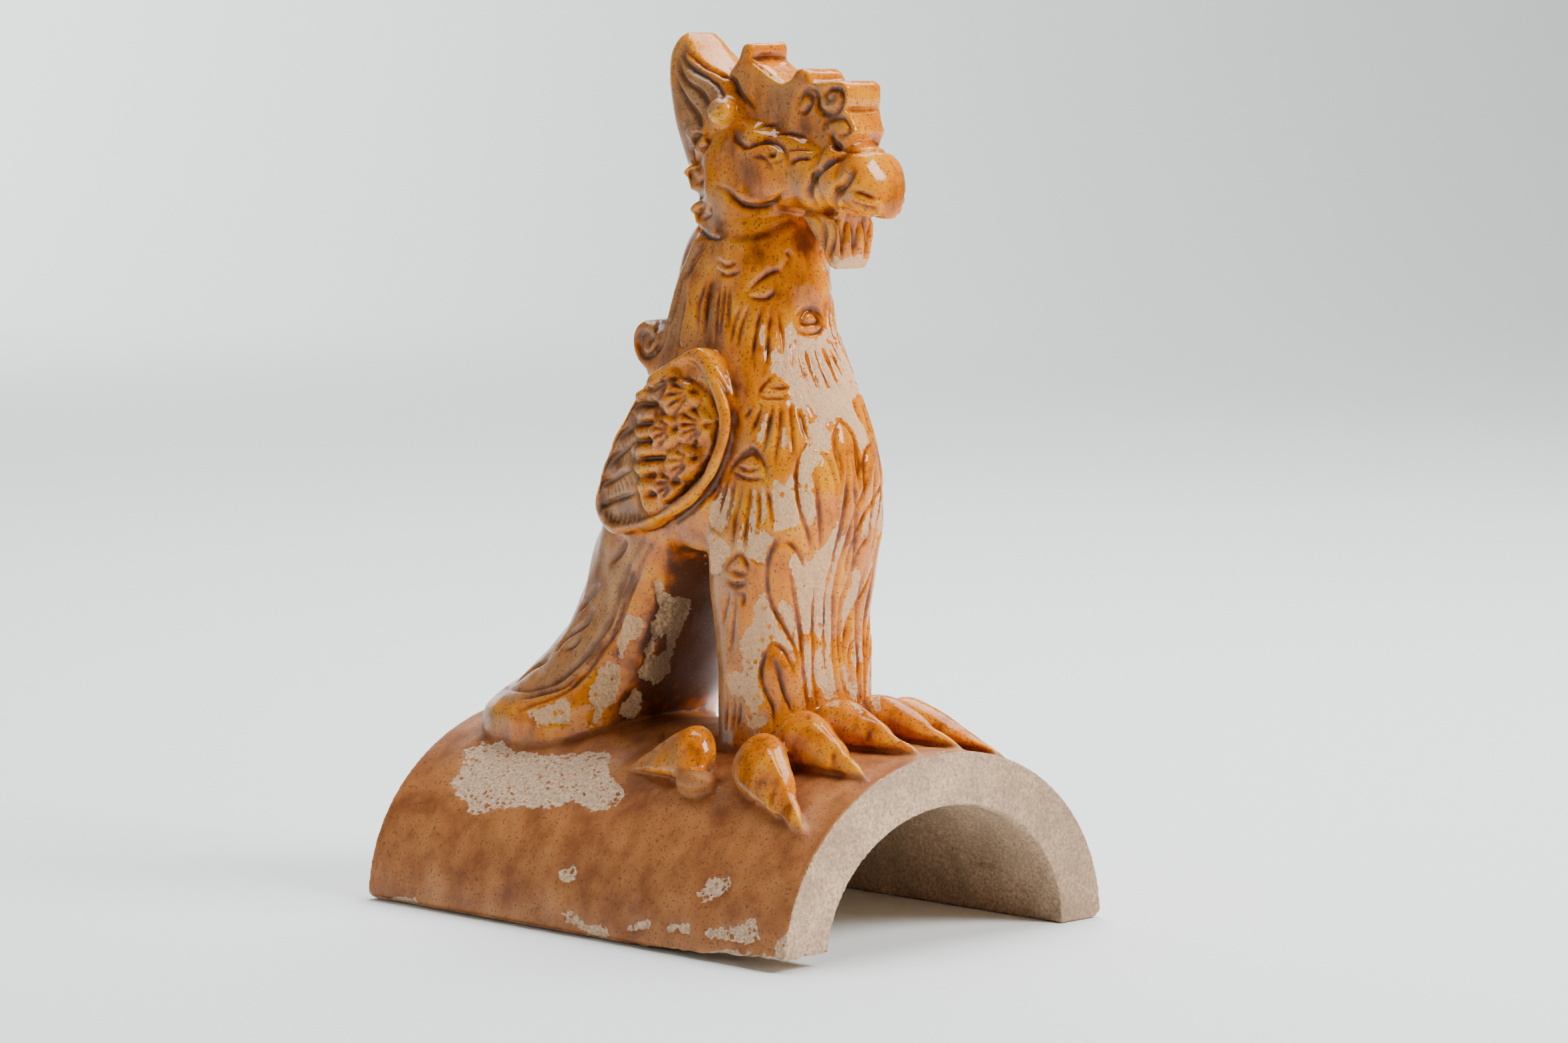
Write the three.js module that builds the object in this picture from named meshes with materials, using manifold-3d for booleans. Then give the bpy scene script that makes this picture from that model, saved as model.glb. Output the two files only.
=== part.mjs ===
// Glazed roof-ridge ornament: a phoenix seated on a half-round ridge tile, made as one fired piece.
// Millimetres, +Z up, the bird looks along -Y. The origin is the middle of the tile's underside.
import * as THREE from 'three';
import { mergeVertices } from 'three/addons/utils/BufferGeometryUtils.js';
import Module from 'manifold-3d';

const wasm = await Module();
wasm.setup();

// The half-round tile.
const TILE_LENGTH = 200;
const TILE_WIDTH = 150;
const TILE_RISE = 63;
const TILE_CROWN_WALL = 18;
const TILE_SIDE_WALL = 20;
const FOOT_CHAMFER = 4;
const TILE_ARC_STEPS = 32;

// The bird, from the tile's crown to the tip of its plume.
const FIGURE_HEIGHT = 230.5;
const FOOT_SINK = 15;
const TAIL_SINK = 13;
const RING_STEPS = 18;

// Carved lines.
const CUT_LIFT = 1.2;
const LINE_DEPTH = 1.5;
const LINE_WIDTH = 2.4;

// The crest and the beard.
const CREST_THICKNESS = 18;
const CREST_BEVEL = 1.4;
const BEARD_WIDTH = 20;
const BEARD_BEVEL = 1.2;

// The toes.
const TOE_RADIUS = 8;
const TOE_RISE = 7.5;
const CLAW_SETBACK = 3;

// The plume, in the drawing's own units: height, back y, front y, half width.
const PLUME = [
  [186, 12, -22, 13], [198, 16.5, -20, 13.5], [206, 19.5, -17, 13.2], [213, 21.5, -10, 12.4], [219, 22, -1, 11],
  [224, 21, 6, 9.8], [228, 18.5, 9.5, 8], [230.5, 16, 12, 5.5],
];

// The bird is drawn in these units, measured from the tile's crown, and scaled to its real height.
const SCALE = FIGURE_HEIGHT / PLUME.at(-1)[0];
const drawn = (millimetres) => millimetres / SCALE;

const vec = (x, y, z) => new THREE.Vector3(x, y, z);
const SIDES = [-1, 1];

/** A closed solid through rings of equal point count, each end closed by a fan from its ring's last point. */
function loft(rings) {
  const count = rings[0].length;
  const triangles = [];
  for (let r = 0; r + 1 < rings.length; r += 1) {
    for (let i = 0; i < count; i += 1) {
      const j = (i + 1) % count;
      const low = r * count;
      const high = low + count;
      triangles.push(low + i, low + j, high + j, low + i, high + j, high + i);
    }
  }
  const top = (rings.length - 1) * count;
  for (let i = 0; i + 2 < count; i += 1) {
    triangles.push(count - 1, i + 1, i);
    triangles.push(top + count - 1, top + i, top + i + 1);
  }
  const geometry = new THREE.BufferGeometry().setFromPoints(rings.flat());
  geometry.setIndex(triangles);
  return geometry;
}

/** A three.js geometry as a manifold solid, turned right side out if it came mirrored. */
function solid(geometry) {
  let bare = geometry.clone();
  bare.deleteAttribute('normal');
  bare.deleteAttribute('uv');
  bare = mergeVertices(bare, 1e-4);
  const position = bare.getAttribute('position');
  const index = Array.from(bare.getIndex().array);
  const corner = (i) => vec().fromBufferAttribute(position, index[i]);
  let volume = 0;
  for (let i = 0; i < index.length; i += 3) volume += corner(i).dot(corner(i + 1).cross(corner(i + 2)));
  if (volume < 0) for (let i = 0; i < index.length; i += 3) [index[i], index[i + 1]] = [index[i + 1], index[i]];
  return new wasm.Manifold(new wasm.Mesh({
    numProp: 3,
    vertProperties: Float32Array.from(position.array),
    triVerts: Uint32Array.from(index),
  }));
}

/** The same geometry on the bird's other side. */
const mirrored = (geometry) => geometry.clone().scale(-1, 1, 1);
const both = (geometry) => [geometry, mirrored(geometry)];

/** A horizontal superellipse section: middle (0, y, z), half width a, half depth b, squareness n. */
function section([z, y, a, b, n = 2]) {
  return Array.from({ length: RING_STEPS }, (_, i) => {
    const angle = (i / RING_STEPS) * 2 * Math.PI;
    const [c, s] = [Math.cos(angle), Math.sin(angle)];
    const round = (value) => Math.sign(value) * Math.abs(value) ** (2 / n);
    return vec(a * round(c), y + b * round(s), z);
  });
}

/** Sections read at any height between the stations that drive them. */
function sectionAt(stations, z) {
  const above = stations.findIndex((station) => station[0] >= z);
  const [low, high] = [stations[Math.max(above - 1, 0)], stations[Math.max(above, 0)]];
  const share = high[0] === low[0] ? 0 : (z - low[0]) / (high[0] - low[0]);
  const [, y, a, b, n] = low.map((value, i) => value + (high[i] - value) * share);
  return { y, a, b, n };
}

// Each station is [height, middle y, half width, half depth, squareness].
const BREAST = [
  [drawn(-FOOT_SINK), -31, 27, 20, 2.6], [20, -30.5, 27, 20.5, 2.6], [38, -29, 27.5, 21, 2.5],
  [52, -29.4, 29.5, 22.5, 2.4], [65, -30.5, 31, 24, 2.4], [77, -31.5, 30, 25, 2.3], [88, -31, 28.5, 25.5, 2.3],
  [98, -29, 27.5, 25, 2.3], [108, -27, 26.5, 23.5, 2.3], [118, -23.3, 25.5, 22, 2.3], [128, -20, 24.5, 20.5, 2.2],
  [138, -18.6, 23, 19, 2.1], [150, -19, 21.5, 18.5, 2], [172, -18, 18, 17, 2],
];
const BACK_AND_TAIL = [
  [drawn(-TAIL_SINK), 64, 41, 34.5, 2.4], [-1, 63.5, 41, 34.5, 2.4], [4, 60, 39, 34, 2.4], [10, 54, 35, 32, 2.3],
  [18, 48, 30.5, 29.5, 2.2], [31, 38.5, 27, 26.5, 2.2], [45, 31, 26, 27, 2.2],
  [59, 22, 27, 31, 2.2], [66, 16, 28, 34, 2.2], [77, 12, 30, 34, 2.2], [92, 9, 29, 31, 2.2], [107, 6.5, 25, 27, 2],
  [122, 5, 20, 20, 2], [137, 4.5, 14, 16, 2], [172, 2, 10, 11, 2],
];

/** A point of a body's side: turn is degrees round from the front, positive towards the bird's left. */
function onBody(stations, turn, height) {
  const { y, a, b, n } = sectionAt(stations, height);
  const angle = THREE.MathUtils.degToRad(turn);
  const [s, c] = [Math.sin(angle), -Math.cos(angle)];
  const reach = (Math.abs(s / a) ** n + Math.abs(c / b) ** n) ** (-1 / n);
  return vec(s * reach, y + c * reach, height);
}

/** A knife-shaped cutter that follows points on a surface and leaves a V groove, tapering at both ends. */
function groove(points, normals, width = drawn(LINE_WIDTH), depth = drawn(LINE_DEPTH)) {
  const rings = points.map((point, i) => {
    const along = points[Math.min(i + 1, points.length - 1)].clone().sub(points[Math.max(i - 1, 0)]).normalize();
    const across = normals[i].clone().cross(along).normalize();
    const share = i === 0 || i === points.length - 1 ? 0.35 : 1;
    const lift = normals[i].clone().multiplyScalar(drawn(CUT_LIFT));
    return [
      point.clone().add(lift).addScaledVector(across, (width / 2) * share + 0.4),
      point.clone().add(lift).addScaledVector(across, -(width / 2) * share - 0.4),
      point.clone().addScaledVector(normals[i], -depth * share),
    ];
  });
  return loft(rings);
}

/** A carved line on a body, from [turn, height] pairs. */
function bodyLine(stations, pairs, width, depth) {
  const points = pairs.map(([turn, height]) => onBody(stations, turn, height));
  const normals = points.map((p) => {
    const { y, a, b } = sectionAt(stations, p.z);
    return vec(p.x / a ** 2, (p.y - y) / b ** 2, 0).normalize();
  });
  return groove(points, normals, width, depth);
}

/** The tile's outline across its run, at its outer or inner face, from the right foot to the left. */
function tileArc(halfWidth, rise) {
  return Array.from({ length: TILE_ARC_STEPS + 1 }, (_, i) => {
    const angle = Math.PI * (1 - i / TILE_ARC_STEPS);
    return new THREE.Vector2(halfWidth * Math.cos(angle), rise * Math.sin(angle));
  });
}

/** The tile's outer face at x, both in the drawing's units: how far it lies below the crown. */
const tileFall = (x) => drawn(TILE_RISE * (Math.sqrt(Math.max(0, 1 - (2 * SCALE * x / TILE_WIDTH) ** 2)) - 1));

/** Extrudes a shape drawn in the XZ plane along Y, centred on the origin. */
function alongRun(shape, length) {
  const geometry = new THREE.ExtrudeGeometry(shape, { depth: length, bevelEnabled: false });
  return geometry.rotateX(Math.PI / 2).translate(0, length / 2, 0);
}

function tile() {
  const outer = tileArc(TILE_WIDTH / 2, TILE_RISE).filter((p) => p.y > FOOT_CHAMFER);
  const shape = new THREE.Shape([
    new THREE.Vector2(-TILE_WIDTH / 2 + FOOT_CHAMFER, 0),
    new THREE.Vector2(-TILE_WIDTH / 2, FOOT_CHAMFER),
    ...outer,
    new THREE.Vector2(TILE_WIDTH / 2, FOOT_CHAMFER),
    new THREE.Vector2(TILE_WIDTH / 2 - FOOT_CHAMFER, 0),
  ]);
  return alongRun(shape, TILE_LENGTH);
}

/** The space under the tile, run past both ends, that is cut from everything. */
function tunnel() {
  const over = 5;
  const arc = tileArc(TILE_WIDTH / 2 - TILE_SIDE_WALL, TILE_RISE - TILE_CROWN_WALL);
  const [first, last] = [arc[0], arc.at(-1)];
  const shape = new THREE.Shape([new THREE.Vector2(first.x, -over), ...arc, new THREE.Vector2(last.x, -over)]);
  return alongRun(shape, TILE_LENGTH + 2 * over);
}

/** Extrudes a side profile, drawn as [y, height] pairs, across X with softened edges. */
function sideProfile(pairs, thickness, bevel, curve = false) {
  const corners = pairs.map(([y, z]) => new THREE.Vector2(y, z));
  const shape = curve ? new THREE.Shape(new THREE.SplineCurve([...corners, corners[0]]).getPoints(curve)) : new THREE.Shape(corners);
  const geometry = new THREE.ExtrudeGeometry(shape, {
    depth: thickness - 2 * bevel, bevelThickness: bevel, bevelSize: bevel, bevelOffset: -bevel, bevelSegments: 1,
  });
  geometry.translate(0, 0, bevel - thickness / 2);
  // The shape's x, y and depth become the bird's y, z and x.
  return geometry.applyMatrix4(new THREE.Matrix4().set(0, 0, 1, 0, 1, 0, 0, 0, 0, 1, 0, 0, 0, 0, 0, 1));
}

/** An egg with half axes a, b, c. */
function egg(x, y, z, a, b, c, steps = 18) {
  return new THREE.SphereGeometry(1, steps, Math.round(steps * 0.65)).rotateX(Math.PI / 2).scale(a, b, c).translate(x, y, z);
}

/** A ring round the Y axis: middle height z, half width a, half height c. */
function uprightRing(y, z, a, c, steps = 14) {
  return Array.from({ length: steps }, (_, i) => {
    const angle = (i / steps) * 2 * Math.PI;
    return vec(a * Math.cos(angle), y, z + c * Math.sin(angle));
  });
}

const HEAD_HEIGHT = 183;

/** The head and hooked beak in one run from the nape forward, with two folds at the beak's root. */
const HEAD_RINGS = [
  // y, middle height, half width, half height
  [7, 182, 5, 7], [3, 182, 12, 14], [-4, 182.5, 16, 18.5], [-12, 183, 17.5, 20.5], [-21, 183.5, 17.5, 19.5],
  [-31, 184.5, 16.5, 16.5], [-42, 184.5, 15, 13.8], [-50, 184, 14.2, 12.6], [-52.5, 184, 12.8, 11.6], [-55, 184, 14, 12.8],
  [-60, 183.5, 13.6, 12.4], [-61.5, 183.3, 12.3, 11.4], [-64, 183, 12.8, 12], [-69, 181.5, 11.8, 11], [-72.5, 179, 8.8, 9],
  [-75, 176.5, 4.5, 5.5],
];

function head() {
  return loft(HEAD_RINGS.map(([y, z, a, c]) => uprightRing(y, z, a, c)));
}

/** How far out the head's side stands at (y, height), read off the same rings. */
function headReach(y, z) {
  const behind = HEAD_RINGS.findIndex((ring) => ring[0] <= y);
  const [near, far] = [HEAD_RINGS[Math.max(behind - 1, 0)], HEAD_RINGS[behind]];
  const share = (y - near[0]) / (far[0] - near[0]);
  const [, middle, a, c] = near.map((value, i) => value + (far[i] - value) * share);
  return a * Math.sqrt(Math.max(0.05, 1 - ((z - middle) / c) ** 2));
}

/** The beard under the beak, broken off square below. */
function beard() {
  const profile = [[-41, 172], [-58, 172], [-58.5, 165], [-57.5, 156], [-55.5, 153.5], [-52.5, 154.5], [-50, 160], [-46, 166]];
  return sideProfile(profile, drawn(BEARD_WIDTH), drawn(BEARD_BEVEL));
}

function beardFlutes() {
  const front = -58.4;
  return [-6.5, -2.2, 2.2, 6.5].map((x) => groove(
    [vec(x, front, 171), vec(x * 0.95, front, 163), vec(x * 0.9, front + 1.6, 153)],
    [vec(0, -1, 0), vec(0, -1, 0), vec(0, -1, 0)], 2, 1.2,
  ));
}

/** The cloud-scroll crest, a slab in the middle plane that steps down to the beak. */
function crest() {
  const outline = [
    [-59, 190], [-61.2, 193.1], [-65, 198.6], [-63.4, 202], [-61.2, 205.5], [-62, 209], [-61.8, 213.5], [-59.5, 215],
    [-50, 215], [-46.3, 214.5], [-44.6, 217.6], [-41.9, 219.3], [-38.4, 218.9], [-35.8, 215.4], [-33, 214], [-23.2, 219.4],
    [-18.7, 221.7], [-19.2, 226], [-17.4, 227.6], [-14, 226.6], [-12.2, 222], [-8.5, 219], [-4, 214], [-8, 196], [-30, 188],
  ];
  return sideProfile(outline, drawn(CREST_THICKNESS), drawn(CREST_BEVEL));
}

/** A pair of cloud scrolls carved on the crest's front block. */
function crestScrolls(side) {
  const face = drawn(CREST_THICKNESS) / 2;
  const scrolls = [
    [[-40, 205], [-44, 207], [-45.5, 211.5], [-48, 209], [-50, 204.5], [-55, 204.5], [-57, 209], [-54, 212], [-51.5, 209]],
    [[-51, 199.5], [-54, 202], [-58.5, 201], [-58.5, 197], [-55, 195.5]],
  ];
  return scrolls.map((pairs) => groove(
    pairs.map(([y, z]) => vec(side * face, y, z)), pairs.map(() => vec(side, 0, 0)), 2.2, 1.5));
}

/** The flame plume behind the crest, widening down to the head. */
function plume() {
  const steps = 14;
  return loft(PLUME.map(([z, back, front, half]) => Array.from({ length: steps }, (_, i) => {
    const angle = (i / steps) * 2 * Math.PI;
    const round = (value) => Math.sign(value) * Math.abs(value) ** 0.55;
    return vec(half * round(Math.cos(angle)), (back + front) / 2 + ((back - front) / 2) * round(Math.sin(angle)), z);
  })));
}

/** Wavy flame lines on the plume's flank. */
function plumeLines(side) {
  const lines = [
    [[-6, 206], [-3, 213], [6, 218], [12, 225]],
    [[2, 200], [5, 209], [12, 215], [17, 223]],
    [[8, 195], [12, 205], [18, 212]],
  ];
  return lines.map((line) => groove(
    line.map(([y, z]) => vec(side * (13.2 - Math.max(0, z - 206) * 0.24), y, z)),
    line.map(() => vec(side, 0, 0.2).normalize()), 2.4, 1.6,
  ));
}

/** A flat spiral bead lying against the side of something, in the YZ plane. */
function scroll(side, x, y, z, radius, turns, startAngle, bead, depth, stepsPerTurn = 9) {
  const steps = Math.round(turns * stepsPerTurn);
  const points = Array.from({ length: steps + 1 }, (_, i) => {
    const share = i / steps;
    const angle = startAngle + share * turns * 2 * Math.PI;
    const reach = radius * (1 - 0.72 * share);
    return vec(side * x, y + reach * Math.cos(angle), z + reach * Math.sin(angle));
  });
  const rings = points.map((point, i) => {
    const along = points[Math.min(i + 1, steps)].clone().sub(points[Math.max(i - 1, 0)]).normalize();
    const out = vec(side, 0, 0);
    const across = along.clone().cross(out).normalize();
    return [
      point.clone().addScaledVector(across, bead).addScaledVector(out, -depth),
      point.clone().addScaledVector(across, bead * 0.6).addScaledVector(out, depth * 0.8),
      point.clone().addScaledVector(across, -bead * 0.6).addScaledVector(out, depth * 0.8),
      point.clone().addScaledVector(across, -bead).addScaledVector(out, -depth),
    ];
  });
  return loft(rings);
}

/** Curls along the back edge of the cheek, one below another. */
function cheekCurls(side) {
  return [[1.5, 194.5], [3, 181.5], [-0.5, 169.5]].map(([y, z]) => scroll(side, 12.5, y, z, 4.6, 1, Math.PI * 0.1, 1.8, 3, 5));
}

/** The long mane lock down each side of the neck, ending in a volute on the shoulder. */
function maneLock(side) {
  const run = [[-1, 162, 13.5], [5, 152, 13.5], [10, 140, 14], [14, 129, 15], [19, 119.5, 15.5], [25.5, 118.5, 14], [27.5, 123, 12.5]];
  const rings = run.map(([y, z, x], i) => {
    const [before, after] = [run[Math.max(i - 1, 0)], run[Math.min(i + 1, run.length - 1)]];
    const along = vec(0, after[0] - before[0], after[1] - before[1]).normalize();
    const out = vec(side, 0.35, 0).normalize();
    const across = along.clone().cross(out).normalize();
    const middle = vec(side * x, y, z);
    return [[3.4, -6], [2.6, 2.4], [-2.6, 2.4], [-3.4, -6]].map(
      ([a, o]) => middle.clone().addScaledVector(across, a).addScaledVector(out, o),
    );
  });
  return [loft(rings), scroll(side, 5, 27, 131.5, 7.2, 1, -Math.PI * 0.5, 2.1, 6, 8)];
}

const EAR = [13.5, -9.5, 204.5, 5.2];

/** The eye, the brow, the cheek line and the beak folds, as carved lines on each side of the head. */
function faceLines(side) {
  const line = (pairs, width, depth) => groove(
    pairs.map(([y, z]) => vec(side * headReach(y, z), y, z)),
    pairs.map(([, z]) => vec(side, 0, (z - HEAD_HEIGHT) / 18).normalize()), width, depth,
  );
  return [
    line([[-17, 193], [-25, 195.5], [-33, 194], [-37, 188.5]], 2.2, 1.4),
    line([[-24, 189.5], [-29, 189.5], [-32, 186]], 2.2, 1.3),
    line([[-5, 180], [-13, 178.5], [-20, 174.5], [-29, 174], [-36, 178.5]], 2.8, 1.8),
  ];
}

const WING_OUTLINE = [
  [-16, 128], [-5, 123.5], [5, 114], [15.5, 101], [25, 87.5], [33.5, 73], [27, 64], [12, 66], [0, 69.5], [-19, 80],
  [-28.5, 94], [-30, 107], [-24.5, 121.5],
];
const WING_MIDDLE = [4, 94];
const WING_FACE = 37;

/** How far out the wing's face stands at (y, height): it wraps forward and backward round the flank. */
const wingFace = (y, z) => WING_FACE - 6.5 * ((y - WING_MIDDLE[0]) / 34) ** 2 - 4 * ((z - WING_MIDDLE[1]) / 36) ** 2;

/** The folded wing: an oval shell with a rolled border round a sunk field of feathers. */
function wing(side) {
  const edge = new THREE.CatmullRomCurve3(WING_OUTLINE.map(([y, z]) => vec(0, y, z)), true).getPoints(18).slice(0, -1);
  const [my, mz] = [0, WING_MIDDLE[1]];
  const ring = (share, out) => edge.map((p) => {
    const [y, z] = [my + (p.y - my) * share, mz + (p.z - mz) * share];
    return vec(side * (wingFace(y, z) + out), y, z);
  });
  return loft([ring(0.94, -16), ring(1, -3), ring(1, -0.6), ring(0.94, 0.8), ring(0.87, 0.4), ring(0.84, -2), ring(0.4, -1.5)]);
}

/** A scallop with a raised fluted edge, fanning to the rear from a deep eye at its front. */
function scallop(side, y, z, radius) {
  const steps = 6;
  const tip = vec(side * (wingFace(y, z) - 3), y - radius * 0.6, z);
  const rim = Array.from({ length: steps }, (_, i) => {
    const angle = -1.8 + (3.6 * i) / (steps - 1);
    const [ry, rz] = [y + radius * Math.cos(angle), z + radius * Math.sin(angle)];
    const out = i % 2 ? 0.3 : 1.6;
    return vec(side * (wingFace(ry, rz) + out), ry, rz);
  });
  const under = (p) => p.clone().setX(p.x - side * 7);
  return loft([[...rim.map(under), under(tip)], [...rim, tip]]);
}

/** A feather of the wing: a raised bar, lying along the wing from (y, z). */
function bar(side, y, z, length, height, slope = 0) {
  const ends = [[0, 0.7], [1, 0.8]];
  return loft(ends.map(([share, full]) => {
    const [py, pz] = [y + length * share, z + length * share * slope];
    const x = wingFace(py, pz);
    return [[-1, -6], [-0.6, 0.8], [0.6, 0.8], [1, -6]].map(([up, out]) => (
      vec(side * (x + out * (out > 0 ? full : 1)), py, pz + (up * height * full) / 2)));
  }));
}

function wingFeathers(side) {
  const scallops = [[-9, 115, 6.5], [-19, 105, 6.5], [-19, 92, 6.5], [-7.5, 100, 6.5], [-8, 85, 6.5]];
  const coverts = Array.from({ length: 3 }, (_, i) => [0.5 + i, 107 - i * 11]);
  const primaries = [[12, 97, -1.15], [13, 86, -0.9], [10, 75, -0.45]];
  return [
    ...scallops.map(([y, z, radius]) => scallop(side, y, z, radius)),
    ...coverts.map(([y, z]) => bar(side, y, z, 9.5, 7.6)),
    ...primaries.map(([y, z, slope]) => bar(side, y, z, 16, 7.4, slope)),
  ];
}

/** A tuft on the neck or breast: a small cap like a hat, with a fan of long strands cut below it. */
function tuft(turn, height, width, length, strands, lean) {
  const brim = [-0.45, 0, 0.45].map((share) => [turn + share * width, height - 6 + Math.abs(share) * 3]);
  const cuts = Array.from({ length: strands }, (_, i) => {
    const share = (i / (strands - 1)) * 2 - 1;
    const top = [turn + share * width * 0.4, height - 9];
    const foot = [turn + share * width * 0.75 + lean, height - length + Math.abs(share) * 6];
    return bodyLine(BREAST, [top, foot], 2.8, 1.7);
  });
  return [bodyLine(BREAST, brim, 3, 1.8), ...cuts];
}

/** The tufts of one side. */
function tufts(side) {
  const rows = [
    // turn from the front, height, width in degrees, strand length, strands, lean
    [78, 154, 36, 30, 3, 6], [47, 148, 32, 28, 3, 3], [12, 138, 28, 26, 3, 2],
    [48, 119, 34, 28, 3, 3], [74, 97, 30, 30, 3, 2], [78, 66, 24, 40, 2, 0],
  ];
  return rows.flatMap(([turn, height, width, length, strands, lean]) => (
    tuft(side * turn, height, width, length, strands, side * lean)));
}

/** Long leaves on one side of the breast, climbing from between the legs, with the line between the legs. */
function breastLeaves(side) {
  const edge = (turn, foot, tip, swell) => [0, 0.5, 1].map((share) => (
    [side * (turn * (0.35 + 0.65 * share) + swell * Math.sin(Math.PI * share)), foot + (tip - foot) * share]));
  const leaves = [[50, 4, 48], [26, 34, 100]];
  const edges = leaves.flatMap(([turn, foot, tip]) => [edge(turn, foot, tip, 8), edge(turn, foot, tip, -8)]);
  return [...edges, [[side * 5, 0], [side * 5, 44]]].map((pairs) => bodyLine(BREAST, pairs, 2, 1.3));
}

/** The tail feathers: long cuts down the back, spreading to the tail's foot. */
function tailLines() {
  return [180, 160, 140].flatMap((turn, i) => (turn === 180 ? [1] : SIDES).map((side) => bodyLine(
    BACK_AND_TAIL, [56 - i, 40, 24, 8].map((height, k) => [side * (turn + (180 - turn) * 0.06 * k), height]), 3, 1.7,
  )));
}

/** One toe lying on the tile, from its knuckle to the tip of its claw, both given as (x, y). */
function toe(side, [kx, ky], [tx, ty], radius) {
  const steps = [
    // share of the way, thickness, rise
    [-0.19, 0.42, 0.55], [-0.08, 0.9, 0.85], [0.12, 1.06, 1], [0.4, 0.92, 0.86], [0.66, 0.64, 0.52],
    [0.69, 0.52, 0.44], [1, 0.07, 0.03],
  ];
  const round = 6;
  const along = vec(tx - kx, ty - ky, 0).normalize();
  const across = vec(-along.y, along.x, 0);
  const rings = steps.map(([share, thick, rise]) => {
    const middle = vec(kx + (tx - kx) * share, ky + (ty - ky) * share, 0);
    return Array.from({ length: round }, (_, i) => {
      const angle = (i / round) * 2 * Math.PI;
      const point = middle.clone().addScaledVector(across, radius * thick * Math.cos(angle));
      point.z = tileFall(point.x) + drawn(TOE_RISE) * rise + radius * thick * Math.sin(angle);
      return vec(side * point.x, point.y, point.z);
    });
  });
  return loft(rings);
}

/** The four toes of one foot, and the knob beside it. The claws stop short of the tile's end. */
function toes(side) {
  const radius = drawn(TOE_RADIUS);
  const end = -drawn(TILE_LENGTH / 2 - CLAW_SETBACK);
  return [
    toe(side, [41, -53], [57, end + 6], radius),
    toe(side, [25, -55], [33, end + 1.5], radius),
    toe(side, [9.5, -57], [10, end], radius * 0.95),
    toe(side, [41, -26], [44, 4], radius * 0.92),
    egg(side * 46, -31, tileFall(46) + 3, 6, 6.5, 5, 8),
  ];
}

/** The whole ornament, joined and carved. */
function ridgeBeast() {
  const figure = [
    loft(BREAST.map(section)),
    loft(BACK_AND_TAIL.map(section)),
    head(), beard(), crest(), plume(),
    ...SIDES.flatMap((side) => [
      ...cheekCurls(side), ...maneLock(side), wing(side), ...wingFeathers(side), ...toes(side),
      egg(side * EAR[0], EAR[1], EAR[2], EAR[3], EAR[3], EAR[3], 7),
    ]),
  ];
  const cuts = [
    ...tailLines(), ...beardFlutes(),
    ...SIDES.flatMap((side) => [
      ...tufts(side), ...breastLeaves(side), ...plumeLines(side), ...faceLines(side), ...crestScrolls(side),
    ]),
  ];
  const seat = (geometry) => geometry.scale(SCALE, SCALE, SCALE).translate(0, 0, TILE_RISE);
  const bird = wasm.Manifold.union(figure.map((geometry) => solid(seat(geometry))));
  const carved = bird.subtract(wasm.Manifold.union(cuts.map((geometry) => solid(seat(geometry)))));
  return solid(tile()).add(carved).subtract(solid(tunnel()));
}

function mesh(name, shape, material) {
  const { vertProperties, triVerts } = shape.getMesh();
  const geometry = new THREE.BufferGeometry();
  geometry.setAttribute('position', new THREE.BufferAttribute(new Float32Array(vertProperties), 3));
  geometry.setIndex(Array.from(triVerts));
  geometry.computeVertexNormals();
  const made = new THREE.Mesh(geometry, material);
  made.name = name;
  return made;
}

const glaze = new THREE.MeshStandardMaterial({ color: 0xc07a1e, roughness: 0.25, metalness: 0 });
const ornament = new THREE.Group();
ornament.add(mesh('ridge_beast', ridgeBeast(), glaze));
export default ornament;
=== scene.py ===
import math

import bpy
import numpy as np
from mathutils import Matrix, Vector
from mathutils.bvhtree import BVHTree
from mathutils.kdtree import KDTree


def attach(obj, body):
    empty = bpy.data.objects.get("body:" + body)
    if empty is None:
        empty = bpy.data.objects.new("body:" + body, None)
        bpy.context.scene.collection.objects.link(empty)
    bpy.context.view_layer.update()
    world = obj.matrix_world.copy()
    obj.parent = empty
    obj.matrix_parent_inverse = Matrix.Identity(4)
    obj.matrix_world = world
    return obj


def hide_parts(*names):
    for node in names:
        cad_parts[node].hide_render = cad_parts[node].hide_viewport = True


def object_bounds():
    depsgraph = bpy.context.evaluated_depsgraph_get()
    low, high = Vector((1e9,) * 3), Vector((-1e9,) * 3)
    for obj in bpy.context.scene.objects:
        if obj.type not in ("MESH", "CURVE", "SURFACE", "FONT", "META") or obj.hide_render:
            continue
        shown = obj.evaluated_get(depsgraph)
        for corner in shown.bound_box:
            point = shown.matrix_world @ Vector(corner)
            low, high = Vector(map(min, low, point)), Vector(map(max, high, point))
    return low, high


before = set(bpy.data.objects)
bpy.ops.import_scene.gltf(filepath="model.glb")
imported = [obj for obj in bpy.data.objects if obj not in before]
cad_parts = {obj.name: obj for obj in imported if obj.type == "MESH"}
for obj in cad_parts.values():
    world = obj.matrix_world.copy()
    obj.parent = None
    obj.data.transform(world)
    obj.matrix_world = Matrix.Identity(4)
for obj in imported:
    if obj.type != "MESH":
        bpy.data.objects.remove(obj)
cad_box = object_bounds()

# ---------------------------------------------------------------------------
# The camera.
# A long lens at the height of the bird's crest, looking a little down on its
# right foreside, and framed as the photograph is.
# ---------------------------------------------------------------------------

PHOTO_WIDTH, PHOTO_HEIGHT = 2357, 1568
FOCAL_PIXELS = 8000
SENSOR_WIDTH = 36
EYE = Vector((-1.2408, -1.2590, 0.3061))
LOOKS_AT = Vector((0.0126, -0.01267, 0.13057))

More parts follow.
